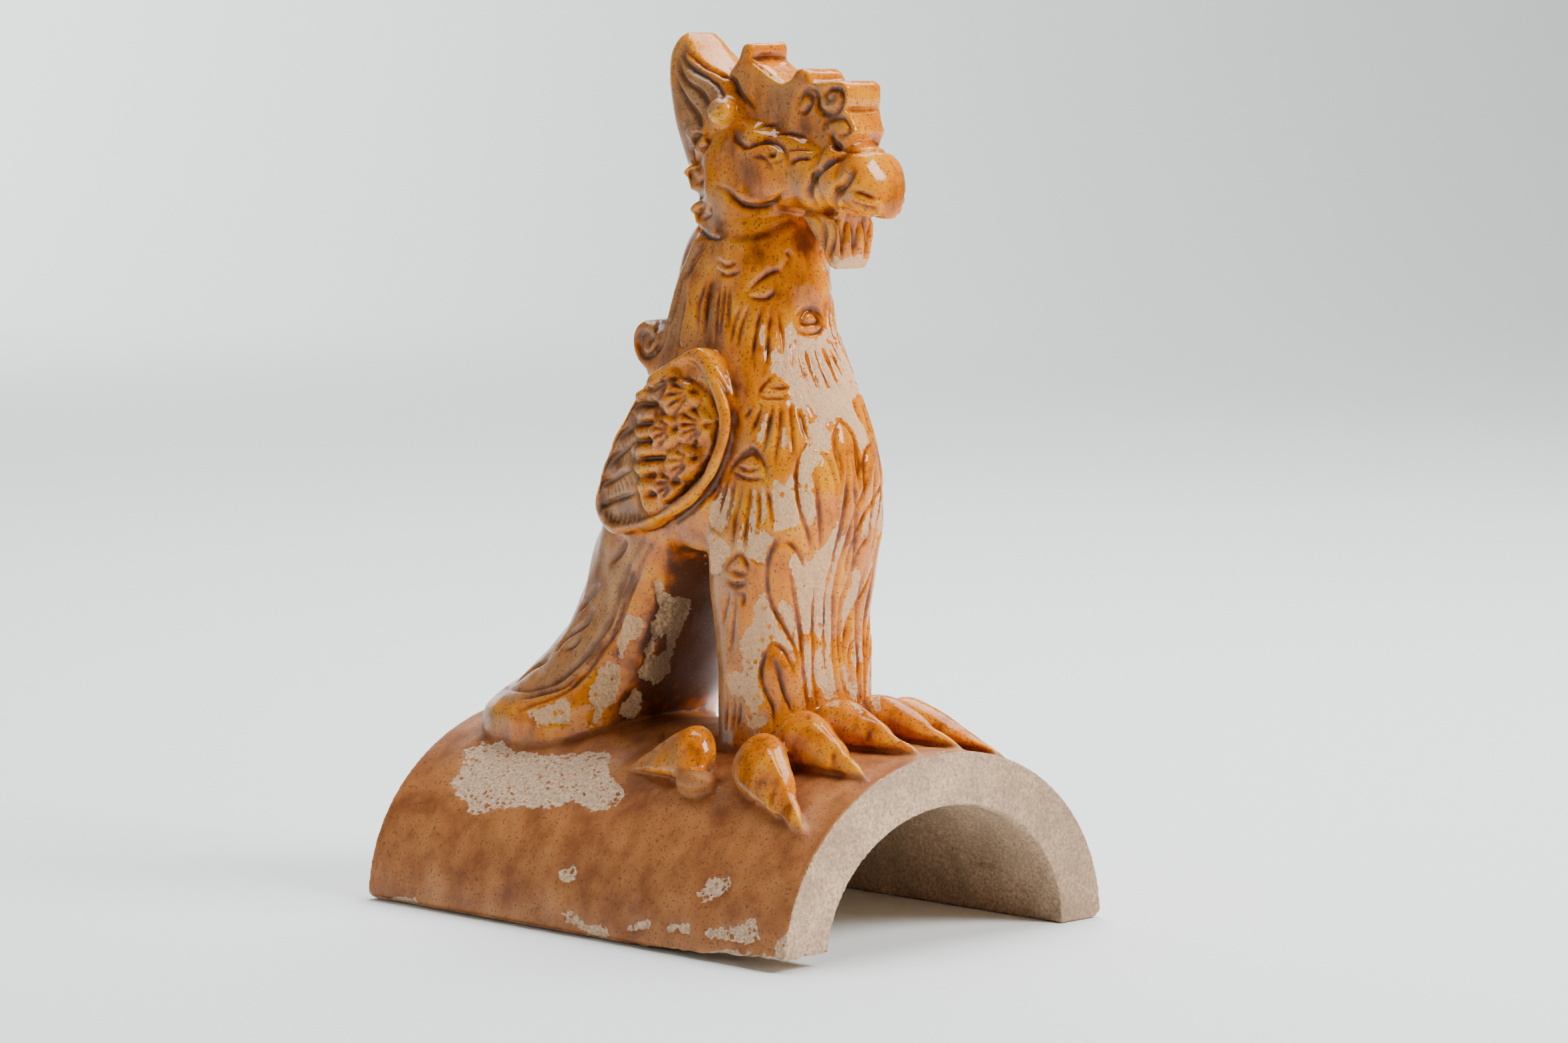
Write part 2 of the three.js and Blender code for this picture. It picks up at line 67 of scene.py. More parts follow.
camera_data = bpy.data.cameras.new("camera")
camera_data.lens = FOCAL_PIXELS * SENSOR_WIDTH / PHOTO_WIDTH
camera_data.sensor_width = SENSOR_WIDTH
camera_data.clip_start = 0.05
camera_data.clip_end = 900
camera = bpy.data.objects.new("camera", camera_data)
bpy.context.scene.collection.objects.link(camera)
camera.location = EYE
camera.rotation_mode = "QUATERNION"
camera.rotation_quaternion = (LOOKS_AT - EYE).to_track_quat("-Z", "Y")
bpy.context.scene.camera = camera

LOOK = (LOOKS_AT - EYE).normalized()
LOOK_RIGHT = LOOK.cross(Vector((0, 0, 1))).normalized()
LOOK_UP = LOOK_RIGHT.cross(LOOK)


def sight(u, v):
    """The direction in which the camera sees the photograph's pixel (u, v)."""
    across, up = u - PHOTO_WIDTH / 2, PHOTO_HEIGHT / 2 - v
    return (LOOK * FOCAL_PIXELS + LOOK_RIGHT * across + LOOK_UP * up).normalized()


# ---------------------------------------------------------------------------
# The half-round ridge tile.
# Thick stoneware arch, thrown and cut, open at both ends, with softened feet.
# ---------------------------------------------------------------------------

MM = 0.001
TILE_LENGTH = 200
TILE_HALF_WIDTH = 75
TILE_CROWN = 63
TILE_SIDE_WALL = 20
TILE_CROWN_WALL = 18
FOOT_SOFTENING = 2.6

shells = []


def add_shell(points, faces):
    """Keeps one closed clay form, in millimetres, until all are pressed together."""
    shells.append((np.asarray(points, dtype=float), faces))


def arch(half_width, rise, steps=90):
    """Half an ellipse in (x, height), from the left foot over the crown to the right foot."""
    turn = np.linspace(math.pi, 0, steps + 1)
    return np.stack([half_width * np.cos(turn), rise * np.sin(turn)], axis=1)


def tile_top(x):
    """Height of the tile's outer face at x, measured from its crown."""
    return TILE_CROWN * (math.sqrt(max(0.0, 1 - (x / TILE_HALF_WIDTH) ** 2)) - 1)


def make_tile():
    """The tile's wall between its outer and inner arch, closed at both ends and under both feet."""
    outer = arch(TILE_HALF_WIDTH, TILE_CROWN)
    outer[0] = (-TILE_HALF_WIDTH + FOOT_SOFTENING, 0)
    outer[-1] = (TILE_HALF_WIDTH - FOOT_SOFTENING, 0)
    inner = arch(TILE_HALF_WIDTH - TILE_SIDE_WALL, TILE_CROWN - TILE_CROWN_WALL)
    count = len(outer)
    points = [
        (x, y, z)
        for y in (-TILE_LENGTH / 2, TILE_LENGTH / 2)
        for x, z in np.concatenate([outer, inner])
    ]
    faces = []
    for i in range(count - 1):
        near_out, near_in = i, count + i
        far_out, far_in = 2 * count + i, 3 * count + i
        faces.append((near_out, near_out + 1, far_out + 1, far_out))
        faces.append((near_in, far_in, far_in + 1, near_in + 1))
        faces.append((near_out, near_in, near_in + 1, near_out + 1))
        faces.append((far_out, far_out + 1, far_in + 1, far_in))
    for end in (0, count - 1):
        faces.append((end, 2 * count + end, 3 * count + end, count + end))
    add_shell(points, faces)


make_tile()

# ---------------------------------------------------------------------------
# The body.
# Breast, trunk, back and spreading tail: hollow-looking clay walls modelled by
# hand over one another, so each is a loft and the three run into each other.
# ---------------------------------------------------------------------------

FOOT_SINK = 15
TAIL_SINK = 13
SIDES = (-1, 1)

# height above the tile's crown, middle y, half width, half depth, squareness
BREAST = [
    [-FOOT_SINK, -31, 27, 20, 2.6], [20, -30.5, 27, 20.5, 2.6], [38, -29, 27.5, 21, 2.5],
    [52, -29.4, 29.5, 22.5, 2.4], [65, -30.5, 31, 24, 2.4], [77, -31.5, 30, 25, 2.3],
    [88, -31, 28.5, 25.5, 2.3], [98, -29, 27.5, 25, 2.3], [108, -27, 26.5, 23.5, 2.3],
    [118, -23.3, 25.5, 22, 2.3], [128, -20, 24.5, 20.5, 2.2], [138, -18.6, 23, 19, 2.1],
    [150, -19, 21.5, 18.5, 2], [161, -18.5, 20.4, 17.8, 2], [168, -18, 18, 16.5, 2],
    [175, -18, 12, 12, 2],
]
BACK_AND_TAIL = [
    [-TAIL_SINK, 64, 41, 34.5, 2.4], [-1, 63.5, 41, 34.5, 2.4], [4, 60, 39, 34, 2.4],
    [10, 54, 35, 32, 2.3], [18, 48, 30.5, 29.5, 2.2], [31, 38.5, 27, 26.5, 2.2],
    [45, 31, 26, 27, 2.2], [59, 22, 27, 31, 2.2], [66, 16, 28, 34, 2.2], [77, 12, 30, 34, 2.2],
    [92, 9, 29, 31, 2.2], [107, 6.5, 25, 27, 2], [122, 4, 22, 22, 2], [137, 4, 18, 17, 2],
    [152, 4, 15, 14, 2], [164, 2, 12, 11, 2], [174, 0, 5, 5, 2],
]
TRUNK = [
    [60, -4, 25, 38, 2.2], [77, -6, 31.5, 42, 2.2], [92, -6, 31, 40, 2.2],
    [107, -7, 28.5, 34, 2.2], [122, -7.5, 25, 27, 2.2], [140, -8, 22, 24, 2.2],
    [154, -8.5, 20, 20, 2], [166, -9, 16, 16, 2], [175, -9, 8, 9, 2],
]


def through(rows, between=5, closed=False):
    """A smooth run through rows of numbers, with that many steps from each to the next."""
    rows = np.asarray(rows, dtype=float)
    count = len(rows)
    out = []
    for i in range(count if closed else count - 1):
        if closed:
            a, b, c, d = (rows[(i + k) % count] for k in (-1, 0, 1, 2))
        else:
            a, b, c, d = (rows[min(max(i + k, 0), count - 1)] for k in (-1, 0, 1, 2))
        for t in np.arange(between) / between:
            out.append(0.5 * (2 * b + (c - a) * t + (2 * a - 5 * b + 4 * c - d) * t**2
                              + (3 * b - a - 3 * c + d) * t**3))
    if not closed:
        out.append(rows[-1])
    return np.array(out)


def add_loft(rings):
    """A closed form through rings of equal point count."""
    count = len(rings[0])
    faces = []
    for r in range(len(rings) - 1):
        low, high = r * count, (r + 1) * count
        for i in range(count):
            j = (i + 1) % count
            faces.append((low + i, low + j, high + j, high + i))
    last = (len(rings) - 1) * count
    faces.append(tuple(range(count))[::-1])
    faces.append(tuple(range(last, last + count)))
    add_shell(np.concatenate(rings), faces)


def rounded(value, power):
    """A sine or cosine filled out from a circle's towards a square's."""
    return np.sign(value) * np.abs(value) ** power


def around(steps):
    """Angles once around, in equal steps."""
    return np.arange(steps) / steps * 2 * math.pi


def level_ring(row, steps=96):
    """A level ring of the body, from one row of its table."""
    height, y, half_width, half_depth, square = row
    turn = around(steps)
    x = half_width * rounded(np.cos(turn), 2 / square)
    return np.stack([x, y + half_depth * rounded(np.sin(turn), 2 / square),
                     np.full(steps, TILE_CROWN + height)], axis=1)


for stations in (BREAST, BACK_AND_TAIL, TRUNK):
    add_loft([level_ring(row) for row in through(stations)])

# ---------------------------------------------------------------------------
# The head and hooked beak.
# Pinched forward from the neck in one run, with two folds at the beak's root,
# round ears behind the brow and a broken, fluted beard under the beak.
# ---------------------------------------------------------------------------

# y, middle height, half width, half height
HEAD_RINGS = [
    [7, 182, 5, 7], [3, 182, 12, 14], [-4, 182.5, 16, 18.5], [-12, 183.5, 17.5, 21],
    [-21, 185, 17.5, 18.8], [-31, 186, 16.5, 14.8], [-42, 185.5, 15, 13.2],
    [-50, 184, 14.2, 12.6], [-52.5, 184, 12.8, 11.6], [-55, 184, 14, 12.8],
    [-60, 183.5, 13.6, 12.4], [-61.5, 183.3, 12.3, 11.4], [-64, 183, 12.8, 12],
    [-69, 181.5, 11.8, 11], [-72.5, 179, 8.8, 9], [-74.3, 177.4, 6, 7], [-75, 176.8, 3, 3.8],
]
BEARD_OUTLINE = [
    [-41, 172], [-58, 172], [-58.5, 165], [-57.5, 156], [-55.5, 153.5], [-52.5, 154.5],
    [-50, 160], [-46, 166],
]
BEARD_WIDTH = 20
BEARD_BEVEL = 1.2
# share of its width that the beard keeps at its broken end and under the beak
BEARD_TAPER_HEIGHTS, BEARD_TAPER = [153, 170], [0.72, 1]
EAR_X, EAR_Y, EAR_HEIGHT, EAR_SIZE = 13.5, -9.5, 204.5, 5.2
CHEEK_X = 6
CHEEK = dict(y=-15, height=176.5, a=13.5, b=17.5, c=20.5)
BEAK_ROOT = -48
HEAD_SQUARENESS, BEAK_SQUARENESS = 2.5, 2.1


def upright_ring(row, steps=64):
    """An upright ring of the head or beak, from one row of its table."""
    y, height, half_width, half_height = row
    turn = around(steps)
    fullness = 2 / (HEAD_SQUARENESS if y > BEAK_ROOT else BEAK_SQUARENESS)
    return np.stack([half_width * rounded(np.cos(turn), fullness), np.full(steps, y),
                     TILE_CROWN + height + half_height * rounded(np.sin(turn), fullness)], axis=1)


def add_slab(outline, thickness, bevel):
    """A side outline given as (y, height), cut from a slab and softened along its edges."""
    outline = np.asarray(outline, dtype=float)
    following, before = np.roll(outline, -1, axis=0), np.roll(outline, 1, axis=0)
    along = following - before
    along /= np.linalg.norm(along, axis=1)[:, None]
    area = np.sum(outline[:, 0] * following[:, 1] - following[:, 0] * outline[:, 1])
    inward = np.stack([-along[:, 1], along[:, 0]], axis=1) * np.sign(area)
    rings = []
    for x, shrink in ((-thickness / 2, bevel), (bevel - thickness / 2, 0),
                      (thickness / 2 - bevel, 0), (thickness / 2, bevel)):
        edge = outline + inward * shrink
        rings.append(np.stack([np.full(len(edge), x), edge[:, 0], TILE_CROWN + edge[:, 1]], axis=1))
    add_loft(rings)


def add_egg(x, y, height, a, b, c, steps=28):
    """A rounded lump of clay with the half sizes a, b and c along x, y and height."""
    rings = []
    turn = around(steps)
    for slope in np.linspace(-1.5, 1.5, steps // 2):
        rings.append(np.stack([x + a * math.cos(slope) * np.cos(turn),
                               y + b * math.cos(slope) * np.sin(turn),
                               np.full(steps, TILE_CROWN + height + c * math.sin(slope))], axis=1))
    add_loft(rings)


add_loft([upright_ring(row) for row in through(HEAD_RINGS, 4)])
add_slab(BEARD_OUTLINE, BEARD_WIDTH, BEARD_BEVEL)
beard_points = shells[-1][0]
beard_points[:, 0] *= np.interp(beard_points[:, 2] - TILE_CROWN, BEARD_TAPER_HEIGHTS, BEARD_TAPER)
for side in SIDES:
    add_egg(side * CHEEK_X, **CHEEK)
    add_egg(side * EAR_X, EAR_Y, EAR_HEIGHT, EAR_SIZE, EAR_SIZE, EAR_SIZE)

# ---------------------------------------------------------------------------
# The crest and plume.
# A slab of clay in the middle plane cut to cloud scrolls, stepping down to the
# beak, and behind it the flame plume, wider and swept up to a blunt tip.
# ---------------------------------------------------------------------------

CREST_THICKNESS = 18
CREST_BEVEL = 1.4
CREST_OUTLINE = [
    [-59, 190], [-61.2, 193.1], [-65, 198.6], [-63.4, 202], [-61.2, 205.5], [-62, 209],
    [-61.8, 213.5], [-59.5, 215], [-50, 215], [-46.3, 214.5], [-44.6, 217.6], [-41.9, 219.3],
    [-38.4, 218.9], [-35.8, 215.4], [-33, 214], [-23.2, 219.4], [-18.7, 221.7], [-19.2, 226],
    [-17.4, 227.6], [-14, 226.6], [-12.2, 222], [-8.5, 219], [-4, 214], [-8, 196], [-30, 188],
]
# height, back y, front y, half width
PLUME = [
    [186, 12, -22, 13], [198, 16.5, -20, 13.5], [206, 19.5, -17, 13.2], [213, 21.5, -10, 12.4],
    [219, 22, -1, 11], [224, 21, 6, 9.8], [228, 18.5, 9.5, 8], [230.5, 16, 12, 5.5],
]
PLUME_SQUARENESS = 0.55


def plume_ring(row, steps=72):
    """A level ring of the plume, from one row of its table."""
    height, back, front, half_width = row
    turn = around(steps)
    y = (back + front) / 2 + (back - front) / 2 * rounded(np.sin(turn), PLUME_SQUARENESS)
    return np.stack([half_width * rounded(np.cos(turn), PLUME_SQUARENESS), y,
                     np.full(steps, TILE_CROWN + height)], axis=1)


add_slab(CREST_OUTLINE, CREST_THICKNESS, CREST_BEVEL)
add_loft([plume_ring(row) for row in through(PLUME, 4)])

# ---------------------------------------------------------------------------
# The mane.
# Rolled beads of clay: three curls behind each cheek, and a long lock down
# each side of the neck that ends in a volute on the shoulder.
# ---------------------------------------------------------------------------

SCROLL_NARROWS = 0.72
# y, height
CHEEK_CURLS = [[1.5, 194.5], [3, 181.5], [-0.5, 169.5]]
CHEEK_CURL_X = 12.5
CHEEK_CURL = dict(radius=4.6, turns=1, start=math.pi * 0.1, bead=1.8, depth=3)
CHEEK_CURL_CORE = (2.6, 4, 4)
# y, height, distance from the middle plane
MANE_LOCK = [
    [-2, 162, 14.5], [3.5, 151, 16], [7, 139, 17.5], [9.5, 128, 19], [13, 120.5, 20],
    [17.5, 118.5, 19],
]
LOCK_LEANS_BACK = 0.35
LOCK_PROFILE = [(3.4, -6), (3.2, 1.2), (1.8, 2.6), (-1.8, 2.6), (-3.2, 1.2), (-3.4, -6)]
VOLUTE = dict(x=17.5, y=17, height=128, radius=7.6, turns=1.1, start=-math.pi / 2, bead=2.2, depth=6)
VOLUTE_CORE = (4.5, 6.5, 6.5)


def add_band(middles, outs, profile):
    """A strip of clay following points, with the same cross profile of (across, out) all along."""
    rings = []
    for i, (middle, out) in enumerate(zip(middles, outs)):
        along = middles[min(i + 1, len(middles) - 1)] - middles[max(i - 1, 0)]
        across = np.cross(along / np.linalg.norm(along), out)
        across /= np.linalg.norm(across)
        rings.append(np.array([middle + across * a + out * o for a, o in profile]))
    add_loft(rings)


def add_scroll(side, x, y, height, radius, turns, start, bead, depth):
    """A bead of clay rolled up into a flat scroll that faces sideways."""
    share = np.linspace(0, 1, max(12, int(turns * 28)))
    turn = start + share * turns * 2 * math.pi
    reach = radius * (1 - SCROLL_NARROWS * share)
    middles = np.stack([np.full(len(share), side * x), y + reach * np.cos(turn),
                        TILE_CROWN + height + reach * np.sin(turn)], axis=1)
    out = np.array([side, 0.0, 0.0])
    profile = [(bead, -depth), (bead * 0.85, depth * 0.55), (bead * 0.4, depth * 0.85),
               (-bead * 0.4, depth * 0.85), (-bead * 0.85, depth * 0.55), (-bead, -depth)]
    add_band(middles, [out] * len(share), profile)


for side in SIDES:
    for y, height in CHEEK_CURLS:
        add_scroll(side, CHEEK_CURL_X, y, height, **CHEEK_CURL)
        add_egg(side * (CHEEK_CURL_X - 1), y, height, *CHEEK_CURL_CORE)
    lock = through([[side * x, y, TILE_CROWN + height] for y, height, x in MANE_LOCK])
    lock_out = np.array([side, LOCK_LEANS_BACK, 0.0]) / math.hypot(1, LOCK_LEANS_BACK)
    add_band(lock, [lock_out] * len(lock), LOCK_PROFILE)
    add_scroll(side, **VOLUTE)
    add_egg(side * VOLUTE["x"], VOLUTE["y"], VOLUTE["height"], *VOLUTE_CORE)

# ---------------------------------------------------------------------------
# The folded wings.
# Each is an oval leaf of clay laid on the flank with a rolled border, its
# field sunk to take the shells and feathers.
# ---------------------------------------------------------------------------

# y, height
WING_OUTLINE = [
    [-16, 128], [-5, 123.5], [5, 114], [15.5, 101], [25, 87.5], [33.5, 73], [27, 64], [12, 66],
    [0, 69.5], [-19, 80], [-28.5, 94], [-30, 107], [-24.5, 121.5],
]
WING_MIDDLE_Y, WING_MIDDLE_HEIGHT = 4, 94
WING_REACH = 37
# how far the face falls back, at what distance from its middle
WING_FALL_ALONG, WING_FALL_UP = (6.5, 34), (4, 36)
# share of the outline, distance out from the wing's face
WING_SECTION = [
    [0.94, -16], [1, -3], [1, -0.6], [0.975, 0.6], [0.94, 0.8], [0.9, 0.7], [0.87, 0], [0.84, -1.6],
    [0.6, -1.4], [0.3, -1],
]


def wing_face(y, height):
    """How far the wing's face stands from the middle plane."""
    return (WING_REACH - WING_FALL_ALONG[0] * ((y - WING_MIDDLE_Y) / WING_FALL_ALONG[1]) ** 2
            - WING_FALL_UP[0] * ((height - WING_MIDDLE_HEIGHT) / WING_FALL_UP[1]) ** 2)


wing_edge = through(WING_OUTLINE, 10, closed=True)
for side in SIDES:
    rings = []
    for share, out in WING_SECTION:
        y = wing_edge[:, 0] * share
        height = WING_MIDDLE_HEIGHT + (wing_edge[:, 1] - WING_MIDDLE_HEIGHT) * share
        rings.append(np.stack([side * (wing_face(y, height) + out), y, TILE_CROWN + height], axis=1))
    add_loft(rings)

# ---------------------------------------------------------------------------
# The feet.
# Four thick toes with claws on each foot, laid over the tile's shoulder and
# smoothed onto it, and a knob of clay beside the outer toe.
# ---------------------------------------------------------------------------

TOE_RADIUS = 8
TOE_RISE = 7.5
CLAW_END = 97
# knuckle x and y, claw tip x and y, share of the toe's radius
TOES = [
    [40.5, -52, 57.5, 5.5 - CLAW_END, 0.98], [25, -55, 33, 1.5 - CLAW_END, 1],
    [9.5, -57, 10, -CLAW_END, 0.95], [41, -26, 44, 4, 0.92],
]
# share of the way from knuckle to claw, thickness, rise
TOE_STEPS = [
    [-0.19, 0.42, 0.5], [-0.08, 0.9, 0.8], [0.1, 1.06, 0.95], [0.34, 0.9, 0.84], [0.6, 0.6, 0.52],
    [0.64, 0.5, 0.45], [0.84, 0.28, 0.27], [1, 0.07, 0.03],
]
# where the toe's top starts to rise to a ridge, how quickly, and how sharp it gets
RIDGE_START, RIDGE_GROWTH, RIDGE_SHARPEST = 0.15, 1.5, 0.8
KNOB_X, KNOB_Y, KNOB_LIFT = 47, -32, 2
KNOB_HALF_SIZES = (6, 8.5, 4.5)


def add_toe(side, knuckle_x, knuckle_y, tip_x, tip_y, size):
    """One toe laid over the tile, from its knuckle to the tip of its claw."""
    along = np.array([tip_x - knuckle_x, tip_y - knuckle_y])
    across = np.array([-along[1], along[0]]) / np.linalg.norm(along)
    turn = around(24)
    rings = []
    for share, thick, rise in through(TOE_STEPS, 3):
        radius = TOE_RADIUS * size * max(thick, 0.05)
        x = knuckle_x + along[0] * share + across[0] * radius * np.cos(turn)
        y = knuckle_y + along[1] * share + across[1] * radius * np.cos(turn)
        ridged = np.clip((share - RIDGE_START) * RIDGE_GROWTH, 0, RIDGE_SHARPEST)
        upright = (np.sin(turn) * (1 - ridged)
                   + np.sign(np.sin(turn)) * (1 - np.abs(np.cos(turn))) * ridged)
        z = [TILE_CROWN + tile_top(each) for each in x] + TOE_RISE * rise + radius * upright
        rings.append(np.stack([side * x, y, z], axis=1))
    add_loft(rings)


for side in SIDES:
    for toe in TOES:
        add_toe(side, *toe)
    add_egg(side * KNOB_X, KNOB_Y, tile_top(KNOB_X) + KNOB_LIFT, *KNOB_HALF_SIZES)

# ---------------------------------------------------------------------------
# All of it pressed together.
# The clay forms are joined into one skin while wet, and the joins smoothed
# over with a wet thumb, which leaves the faces a little uneven.
# ---------------------------------------------------------------------------

SKIN_STEP = 0.66
JOIN_SMOOTHING = 3
HAND_UNEVENNESS = 0.28
THUMBINGS = 60
# The inside of the arch, with the skin's own thickness to spare.
ARCH_MARGIN = 1.06


def points_of(mesh):
    """The points of a mesh, in millimetres."""
    flat = np.empty(len(mesh.vertices) * 3)
    mesh.vertices.foreach_get("co", flat)
    return flat.reshape(-1, 3) / MM


points, faces, start = [], [], 0
for shell_points, shell_faces in shells:
    points.append(shell_points)
    faces += [tuple(start + i for i in face) for face in shell_faces]
    start += len(shell_points)

wet = bpy.data.meshes.new("wet_clay")
wet.from_pydata((np.concatenate(points) * MM).tolist(), [], faces)
bird = bpy.data.objects.new("glazed_ridge_bird", wet)
bpy.context.scene.collection.objects.link(bird)
press = bird.modifiers.new("press", "REMESH")
press.mode = "VOXEL"
press.voxel_size = SKIN_STEP * MM
graph = bpy.context.evaluated_depsgraph_get()
skin = bpy.data.meshes.new_from_object(bird.evaluated_get(graph))
bird.modifiers.clear()
bird.data = skin

edges = np.empty(len(skin.edges) * 2, dtype=np.int32)
skin.edges.foreach_get("vertices", edges)
edges = edges.reshape(-1, 2)
ends = np.concatenate([edges[:, 0], edges[:, 1]])
others = np.concatenate([edges[:, 1], edges[:, 0]])
quads = np.empty(len(skin.polygons) * 4, dtype=np.int32)
skin.polygons.foreach_get("vertices", quads)
quads = quads.reshape(-1, 4)
places = points_of(skin)
neighbours = np.maximum(np.bincount(ends, minlength=len(places)), 1)


def smoothed(values, times, strength=0.6):
    """Values eased towards the mean of their neighbours over the skin."""
    values = values.copy()
    for _ in range(times):
        for k in range(values.shape[1]):
            mean = np.bincount(ends, weights=values[others, k], minlength=len(values)) / neighbours
            values[:, k] += strength * (mean - values[:, k])
    return values


def normals_of(where):
    """The outward direction at each point of the skin."""
    diagonals = np.cross(where[quads[:, 2]] - where[quads[:, 0]],
                         where[quads[:, 3]] - where[quads[:, 1]])
    out = np.zeros_like(where)
    for corner in range(4):
        for k in range(3):
            out[:, k] += np.bincount(quads[:, corner], weights=diagonals[:, k], minlength=len(where))
    return out / np.maximum(np.linalg.norm(out, axis=1), 1e-9)[:, None]


def unevenness(where, seed, longest, shortest, waves=9):
    """Soft swells over the clay, from waves that run in all directions."""
    picks = np.random.default_rng(seed)
    total = np.zeros(len(where))
    for _ in range(waves):
        direction = picks.normal(size=3)
        direction /= np.linalg.norm(direction)
        length = picks.uniform(shortest, longest)
        total += np.sin(where @ direction * (2 * math.pi / length) + picks.uniform(0, 6.28))
    return total / math.sqrt(waves)


places = smoothed(places, JOIN_SMOOTHING)
# The head is thumbed down onto the throat until no join shows.
THROAT_HEIGHT, THROAT_REACH = 163, 13
THROAT_FRONT, THROAT_BACK, THROAT_FADE = -46, -3, 6
from_throat = np.abs(places[:, 2] - TILE_CROWN - THROAT_HEIGHT)
near_throat = np.clip(1.5 - 1.5 * from_throat / THROAT_REACH, 0, 1)
near_throat *= (np.clip((THROAT_BACK - places[:, 1]) / THROAT_FADE, 0, 1)
                * np.clip((places[:, 1] - THROAT_FRONT) / THROAT_FADE, 0, 1))
# The ceiling of the gap between the legs and the tail is thumbed to an arch.
CEILING_Y, CEILING_HEIGHT, CEILING_REACH = 6, 60, 18
from_ceiling = np.hypot(places[:, 1] - CEILING_Y, places[:, 2] - TILE_CROWN - CEILING_HEIGHT)
near_ceiling = np.clip(2 - 2 * from_ceiling / CEILING_REACH, 0, 1)
thumbed = smoothed(places, THUMBINGS)
places += (thumbed - places) * np.maximum(near_throat, near_ceiling)[:, None]
normals = normals_of(places)

# How far each point stands off the tile's outer face, and whether it is inside the arch.
off_tile = (np.hypot(places[:, 0] / TILE_HALF_WIDTH, places[:, 2] / TILE_CROWN) - 1) * TILE_CROWN
in_arch = np.hypot(places[:, 0] / (TILE_HALF_WIDTH - TILE_SIDE_WALL),
                   places[:, 2] / (TILE_CROWN - TILE_CROWN_WALL)) < ARCH_MARGIN
skin.vertices.foreach_set("co", (places * MM).ravel())
skin.update()

# ---------------------------------------------------------------------------
# The carving.
# Lines cut with a wooden knife in the leather-hard clay: each is drawn where
# the photograph shows it, laid on the skin, and repeated on the other side.
# ---------------------------------------------------------------------------

LINE_STEP = 1.3
# A line breaks where the clay under it steps back by more than this.
LARGEST_STEP_BACK = 9
# A line marks only clay that faces about the same way as where it was drawn.
FACES_ALIKE = 0.15
LINE_FADE = 1.7


def finder_of(where):
    """A quick way to find which of many points lie near a place."""
    made = KDTree(len(where))
    for i, place in enumerate(where):
        made.insert(place, i)
    made.balance()
    return made


skin_tree = BVHTree.FromPolygons([tuple(p) for p in places], quads.tolist())
eye_mm = EYE / MM
finder = finder_of(places)
cut = np.zeros(len(places))
rise = np.zeros(len(places))


def on_skin(u, v):
    """Where the line of sight through a pixel meets the clay, and which way the clay faces there."""
    place, normal, index, distance = skin_tree.ray_cast(eye_mm, sight(u, v))
    if place is None:
        return None, None, None
    return place, Vector(normals[quads[index][0]]), distance


def press_line(line, half_width, depth, field, paired=True, blunt=False, power=LINE_FADE):
    """Presses one drawn line into a field over the skin, tapering to a point at both ends."""
    line = through(line, 6)
    lengths = np.concatenate([[0], np.cumsum(np.linalg.norm(np.diff(line, axis=0), axis=1))])
    steps = max(3, int(lengths[-1] / LINE_STEP))
    along = np.linspace(0, lengths[-1], steps)
    u, v = np.interp(along, lengths, line[:, 0]), np.interp(along, lengths, line[:, 1])
    before = None
    for k in range(steps):
        place, normal, distance = on_skin(u[k], v[k])
        broken = place is None or (before is not None and abs(distance - before) > LARGEST_STEP_BACK)
        before = distance
        if broken:
            continue
        share = 1 if blunt else min(1, 0.3 + 2.8 * min(k, steps - 1 - k) / steps)
        reach, deep = half_width * (0.55 + 0.45 * share), depth * share
        for mirrored in ((False, True) if paired else (False,)):
            if mirrored:
                place = Vector((-place.x, place.y, place.z))
                normal = Vector((-normal.x, normal.y, normal.z))
            for _, index, gap in finder.find_range(place, reach):
                if normals[index] @ normal > FACES_ALIKE:
                    field[index] = max(field[index], deep * (1 - (gap / reach) ** power))


def carve(lines, half_width, depth, **how):
    for line in lines:
        press_line(line, half_width, depth, cut, **how)


def raise_beads(lines, half_width, height, **how):
    for line in lines:
        press_line(line, half_width, height, rise, **how)


def pits(spots, half_width, depth, **how):
    for u, v in spots:
        press_line([(u - 1, v), (u, v), (u + 1, v)], half_width, depth, cut, blunt=True, **how)


# The plume: flame lines and its front edge.
carve([
    [(1024, 71), (1028, 89), (1038, 102), (1054, 111), (1069, 118), (1080, 132), (1088, 150)],
    [(1017, 86), (1023, 109), (1033, 125), (1048, 135), (1059, 148), (1066, 163)],
    [(1014, 114), (1020, 132), (1031, 150), (1042, 165), (1050, 178), (1052, 196)],
], 1.5, 1.7)
carve([
    [(1027, 68), (1036, 81), (1059, 96), (1084, 109), (1102, 122), (1112, 140), (1128, 158),
     (1133, 165)],
], 1.5, 1.6)
# The ear's notches.
carve([[(1069, 171), (1078, 170), (1088, 167)], [(1077, 163), (1084, 159)]], 0.9, 0.8)
# The crest's lobes, steps and pair of scrolls.
carve([
    [(1128, 88), (1152, 85), (1176, 82)],
    [(1128, 88), (1143, 99), (1163, 114), (1176, 125)],
    [(1270, 165), (1298, 165), (1325, 162)],
    [(1270, 227), (1298, 227), (1332, 224)],
], 1.0, 0.9)
carve([
    [(1200, 169), (1210, 167), (1217, 155), (1217, 144), (1208, 141), (1204, 148)],
    [(1199, 158), (1204, 142), (1214, 134), (1223, 137), (1227, 148), (1228, 163), (1240, 172),
     (1255, 168), (1264, 155), (1265, 142), (1258, 134), (1245, 134), (1239, 143), (1243, 151),
     (1251, 149), (1255, 143)],
    [(1236, 195), (1241, 183), (1253, 178), (1268, 179), (1276, 190), (1272, 201), (1261, 204)],
    [(1249, 196), (1249, 209), (1258, 219), (1268, 225)],
    [(1184, 248), (1192, 240), (1204, 236), (1218, 238)],
], 1.5, 1.7)
